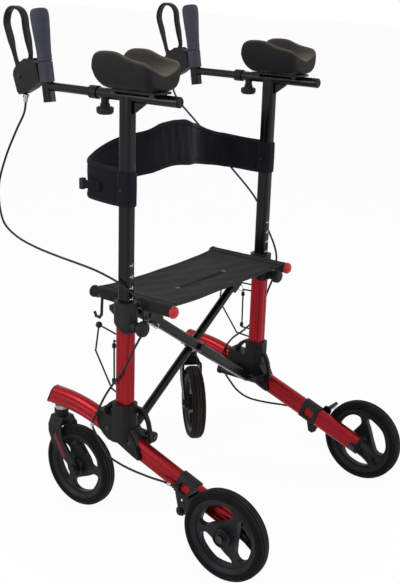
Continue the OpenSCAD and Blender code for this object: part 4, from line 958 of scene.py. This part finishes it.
sewn = [sewn_run(run, face) for run, face in runs]
for x in UPRIGHT_SEAMS:
    p, z0, z1, out = min(belt_stations, key=lambda st: abs(st[0].x - x) + 4 * max(0.0, 0.12 - st[0].y))
    for face in (1, -1):
        offset = out * (face * BELT_T / 2)
        tall = z1 - z0 - 2 * UPRIGHT_SEAM_END
        heights = [z0 + UPRIGHT_SEAM_END + tall * k / 12 for k in range(13)]
        run = [Vector((p.x, p.y, z)) + offset for z in heights]
        sewn.append(stitches("run", run, *BELT_STITCH, out * (face * 0.0003)))
belt_seams = joined("belt_stitches", sewn)
dress(belt_seams, "dark_thread", "left_post_body")
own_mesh(belt_seams)

# Sleeves on the posts, with their rivets, straps and toggles, in metres
SLEEVE_Z, SLEEVE_GAP = (0.734, 0.808), 0.0003
# Place along the sleeve and how far the cloth stands out there
SLEEVE_SWELL = [
    (0, 0.0006), (0.02, 0.0026), (0.06, 0.0032), (0.12, 0.0030), (0.5, 0.0036), (0.88, 0.0030),
    (0.94, 0.0032), (0.98, 0.0026), (1, 0.0006),
]
SLEEVE_WEAVE = (0.0032, 0.009)
# Radius, height and dome of a rivet, and its height over the floor
RIVET, RIVET_Z = (0.0042, 0.0012, 0.0010), 0.769
RIVET_OUT = POST_W / 2 + max(swell for place, swell in SLEEVE_SWELL)
TOGGLE_X, TOGGLE_Z = 0.264, 0.766
STRAP_Y, STRAP_SIZE, STRAP_ROUND = 0.120, (0.010, 0.052, 0.017), 0.0028
TOGGLE_Y, TOGGLE_SIZE, TOGGLE_ROUND = 0.145, (0.013, 0.012, 0.0245), 0.0032


def post_sleeve(side, sign):
    """Padded sleeve round a post, slightly swollen between its bound ends."""
    z0, z1 = SLEEVE_Z
    w, d, r = POST_W / 2 + SLEEVE_GAP, POST_D / 2 + SLEEVE_GAP, POST_R + SLEEVE_GAP
    corner = 8
    points = []

    def outline(grow):
        loop = []
        for qx, qy, start in ((1, 1, 0), (-1, 1, 90), (-1, -1, 180), (1, -1, 270)):
            for k in range(corner):
                a = math.radians(start + 90 * k / (corner - 1))
                x, y = (r + grow) * math.cos(a), (r + grow) * math.sin(a)
                loop.append((qx * (w - r) + x, qy * (d - r) + y))
        return loop

    rings = SLEEVE_SWELL + [(1, 0.0), (0, 0.0)]
    for t, g in rings:
        for x, y in outline(g):
            points.append(Vector((sign * POST_X + x, POST_Y + y, z0 + t * (z1 - z0))))
    n = 4 * corner
    obj = mesh_object(f"{side}_belt_sleeve", points, ring_faces(len(rings), n, looped=True))
    lay_weave(obj, lambda v: (SLEEVE_WEAVE[0] * (v % n), SLEEVE_WEAVE[1] * (v // n)))
    apply_modifier(obj, "SUBSURF", levels=1, render_levels=1)
    dress(obj, "belt_cloth", f"{side}_post_body")


for side, sign in SIDES.items():
    post_sleeve(side, sign)
    rivets = []
    for face in (-1, 1):
        rivet = button("rivet", *RIVET)
        at = (sign * POST_X + face * RIVET_OUT, POST_Y + 0.003, RIVET_Z)
        place_mesh(rivet, turn_to((face, 0, 0), at))
        rivets.append(rivet)
    dress(joined(f"{side}_sleeve_rivets", rivets), "black_metal", f"{side}_post_body")
    strap = rounded_box(f"{side}_toggle_strap", STRAP_SIZE, STRAP_ROUND)
    place_mesh(strap, Matrix.Translation((sign * TOGGLE_X, STRAP_Y, TOGGLE_Z)))
    strap.data.uv_layers.active.name = "cloth"
    dress(strap, "belt_cloth", f"{side}_post_body")
    toggle = rounded_box(f"{side}_toggle", TOGGLE_SIZE, TOGGLE_ROUND)
    place_mesh(toggle, Matrix.Translation((sign * TOGGLE_X, TOGGLE_Y, TOGGLE_Z)))
    dress(toggle, "grey_plastic", f"{side}_post_body")


# Forearm troughs: the same sections as the solid, rounded by subdivision
PAD_W, PAD_REAR, PAD_FRONT, PAD_Z = 0.108, -0.070, 0.081, 0.973
# Place along the trough, wall height, floor, lift of the underside and share of the width
PAD_ROWS = [
    (0, 42, 31, 10, 0.8), (0.02, 49, 33.5, 5.5, 0.885), (0.05, 53.5, 35, 2, 0.945),
    (0.085, 56.5, 35.5, 0, 0.98), (0.105, 57.5, 35.5, 0, 0.99), (0.22, 60, 31, 0, 1),
    (0.34, 63, 26, 0, 1), (0.44, 68, 23, 0, 1), (0.54, 74, 21, 0, 1), (0.66, 75, 21, 0, 1),
    (0.82, 74, 22, 0, 1), (0.86, 72, 23, 3, 1), (0.92, 69, 25, 8, 0.99), (0.96, 63, 28, 14, 0.97),
    (0.985, 56, 31, 20, 0.94), (1, 48, 34, 26, 0.9),
]


def pad_section(row):
    """One cross-section of a trough, from shares of its width and heights in millimetres."""
    t, h, f, u, w = row
    g = h - f
    half = [
        (0.42, u), (0.7, u + 2), (0.86, u + 8), (0.95, max(u + 14, h * 0.35)), (1, h * 0.7), (0.99, h - 4),
        (0.95, h), (0.89, h), (0.84, h - 3), (0.79, f + g * 0.66), (0.7, f + g * 0.36), (0.52, f + g * 0.14),
        (0.26, f + g * 0.03),
    ]
    ring = [(-x, z) for x, z in half] + [(0, f)] + half[::-1] + [(0, 1.03 * u)]
    return [(x * w * PAD_W / 2, PAD_REAR + t * (PAD_FRONT - PAD_REAR), PAD_Z + z / 1000) for x, z in ring]


for side, sign in SIDES.items():
    sections = [pad_section(row) for row in PAD_ROWS]
    points = [Vector((sign * POST_X + x, y, z)) for ring in sections for x, y, z in ring]
    pad = mesh_object(f"{side}_trough", points, ring_faces(len(sections), len(sections[0])))
    apply_modifier(pad, "SUBSURF", levels=2, render_levels=2)
    shade_smooth(pad.data)
    dress(pad, "pad_foam", f"{side}_post_body")
    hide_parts(f"{side}_forearm_pad")


# Small fittings: sizes and places in metres
MARK_PITCH, MARK_COUNT, MARK_Z = 0.0245, 8, 0.4395
MARK_DEPTH, MARK_Y = 0.00025, POST_Y - POST_D / 2 - 0.0001
TICK_SIZE, FIGURE_SIZE = (0.0060, MARK_DEPTH, 0.0019), 0.011
LENS_W, LENS_L, LENS_T = 0.0122, 0.0620, 0.0016
# The lens lies along the leg, behind the stem, under the crown and a little sunk in the leg
LENS_TURN, LENS_BACK, LENS_DROP, LENS_SUNK = math.radians(-32.735), 0.0195, 0.041, 0.0006
CROWN_Z = FRONT_R + math.sqrt(FRONT_R**2 - TRAIL**2) + 0.009
LEVER_Y, LEVER_Z, ADJUSTER_LEAN = 0.322, 0.972, math.radians(14)
# Outer and inner radius, length and groove of the adjuster's barrel and nut
BARREL, NUT = (0.0052, 0.0036, 0.012, 0.0006), (0.0066, 0.0045, 0.004, 0.0)
# Radius, height and dome of the heads of the lever's pin
PIN_HEAD, PIN_HEAD_X = (0.0052, 0.0010, 0.0012), 0.011
PULL_RING_R, PULL_WIRE_R = 0.0075, 0.0009
PULL_RING_X, PULL_RING_Z = 0.1766, 0.458
PULL_RING_Y = {"left": 0.0105, "right": 0.0285}


def height_marks(side, sign):
    """Ticks and figures on the rear of a post."""
    marks = []
    for k in range(MARK_COUNT):
        z = MARK_Z + k * MARK_PITCH
        tick = rounded_box("tick", TICK_SIZE, 0.0001, 1)
        place_mesh(tick, Matrix.Translation((sign * POST_X - 0.0032, MARK_Y, z)))
        marks.append(tick)
        bpy.ops.object.text_add()
        figure = bpy.context.object
        figure.data.body = str(MARK_COUNT - k)
        figure.data.size = FIGURE_SIZE
        figure.data.extrude = MARK_DEPTH / 2
        activate(figure)
        bpy.ops.object.convert(target="MESH")
        figure = bpy.context.object
        foot = Matrix.Translation((sign * POST_X + 0.0002, MARK_Y, z - 0.004))
        place_mesh(figure, foot @ Matrix.Rotation(math.radians(90), 4, "X"))
        marks.append(figure)
    dress(joined(f"{side}_height_marks", marks), "white_print", f"{side}_post_body")


def fork_reflectors(side, sign):
    """A lens in the recess of each leg of a fork."""
    steer = Matrix.Rotation(math.radians(TURN[side]), 4, "Z")
    caster = Matrix.Translation((sign * STEM_X, STEM_Y, 0)) @ steer
    lenses = []
    for face in (-1, 1):
        lens = pill("lens", LENS_W, LENS_L, LENS_T, 0.0005)
        place_mesh(lens, Matrix.Rotation(LENS_TURN, 4, "Z"))
        upright = Matrix((
            (0, 0, face, face * (FORK_OUT - LENS_SUNK)), (1, 0, 0, -LENS_BACK),
            (0, 1, 0, CROWN_Z - LENS_DROP), (0, 0, 0, 1),
        ))
        place_mesh(lens, caster @ upright)
        lenses.append(lens)
    dress(joined(f"{side}_fork_reflectors", lenses), "lens", f"{side}_caster")


def cable_adjuster(side, sign):
    """Barrel and nut under a lever housing."""
    barrel = sleeve("barrel", *BARREL)
    nut = sleeve("nut", *NUT, sides=6)
    lean = Vector((0, -math.sin(ADJUSTER_LEAN), math.cos(ADJUSTER_LEAN)))
    foot = Vector((sign * POST_X, LEVER_Y - 0.006, LEVER_Z - 0.054))
    place_mesh(barrel, turn_to(lean, foot + lean * 0.001))
    place_mesh(nut, turn_to(lean, foot + lean * 0.0135))
    dress(joined(f"{side}_cable_adjuster", [barrel, nut]), "steel", f"{side}_handle")


def lever_pin_heads(side, sign):
    """Both heads of a lever's pin."""
    caps = []
    for face in (-1, 1):
        cap = button("cap", *PIN_HEAD)
        place_mesh(cap, turn_to((face, 0, 0), (sign * POST_X + face * PIN_HEAD_X, LEVER_Y, LEVER_Z)))
        caps.append(cap)
    dress(joined(f"{side}_lever_pin_heads", caps), "black_metal", f"{side}_handle")


def pull_ring(side, sign):
    """Wire ring near the top of a cross bar."""
    deselect()
    bpy.ops.mesh.primitive_torus_add(
        major_radius=PULL_RING_R, minor_radius=PULL_WIRE_R, major_segments=32, minor_segments=8
    )
    ring = take_new(f"{side}_pull_ring")
    bpy.ops.object.shade_smooth()
    place_mesh(ring, turn_to((1, 0, 0), (sign * PULL_RING_X, PULL_RING_Y[side], PULL_RING_Z)))
    dress(ring, "steel", "brace_a" if side == "left" else "brace_b")


for side, sign in SIDES.items():
    for fitting in (height_marks, fork_reflectors, cable_adjuster, lever_pin_heads, pull_ring):
        fitting(side, sign)


# Floor, light and background: plain white's share in the paper where it is seen, and the unseen sky's light
PAPER_WHITE, SKY_LIGHT = 0.94, 0.55


def seen_rays(tree):
    """An output that is 1 for rays from the camera and for mirrored or refracted ones."""
    rays = tree.nodes.new("ShaderNodeLightPath")
    seen = rays.outputs["Is Camera Ray"]
    for kind in ("Is Glossy Ray", "Is Transmission Ray"):
        larger = tree.nodes.new("ShaderNodeMath")
        larger.operation = "MAXIMUM"
        tree.links.new(seen, larger.inputs[0])
        tree.links.new(rays.outputs[kind], larger.inputs[1])
        seen = larger.outputs[0]
    return seen


deselect()
bpy.ops.mesh.primitive_plane_add(size=40, location=(0, 0, 0))
floor = bpy.context.object
floor.name = "floor"
paper = Finish("studio_paper", Roughness=0.9)
shade = paper.ramp(paper.noise(0.8), [(0.3, (0.90, 0.90, 0.90)), (0.7, (0.93, 0.93, 0.93))])
paper.feed(shade, "Base Color")
white = paper.add("Emission", {"Color": (1, 1, 1, 1), "Strength": 1.0})
whiteness = paper.math("MULTIPLY", seen_rays(paper.tree), PAPER_WHITE)
mixer = paper.add("MixShader", {0: whiteness})
out = paper.tree.nodes["Material Output"]
paper.tree.links.new(paper.shader.outputs[0], mixer.inputs[1])
paper.tree.links.new(white.outputs[0], mixer.inputs[2])
paper.tree.links.new(mixer.outputs[0], out.inputs["Surface"])
floor.data.materials.append(paper.material)

world = bpy.data.worlds.new("studio")
bpy.context.scene.world = world
world.use_nodes = True
sky = world.node_tree
background = sky.nodes["Background"]
background.inputs["Color"].default_value = (1, 1, 1, 1)
level = sky.nodes.new("ShaderNodeMapRange")
level.inputs["To Min"].default_value = SKY_LIGHT
level.inputs["To Max"].default_value = 1.0
sky.links.new(seen_rays(sky), level.inputs["Value"])
sky.links.new(level.outputs["Result"], background.inputs["Strength"])


def soft_box(name, place, aim, size, power):
    """A rectangular lamp that faces a point."""
    lamp = bpy.data.lights.new(name, "AREA")
    lamp.shape = "RECTANGLE"
    lamp.size, lamp.size_y = size
    lamp.energy = power
    obj = bpy.data.objects.new(name, lamp)
    link(obj)
    obj.location = place
    obj.rotation_mode = "QUATERNION"
    obj.rotation_quaternion = (Vector(aim) - Vector(place)).to_track_quat("-Z", "Y")


soft_box("key", (-2.4, -2.4, 3.0), (0, 0, 0.5), (1.8, 1.8), 55)
soft_box("side", (-2.8, 1.6, 1.8), (0, 0, 0.5), (0.8, 2.2), 34)
soft_box("rear", (2.0, -2.6, 2.0), (0, 0, 0.5), (0.8, 2.2), 30)

bpy.context.scene.view_settings.view_transform = "Standard"
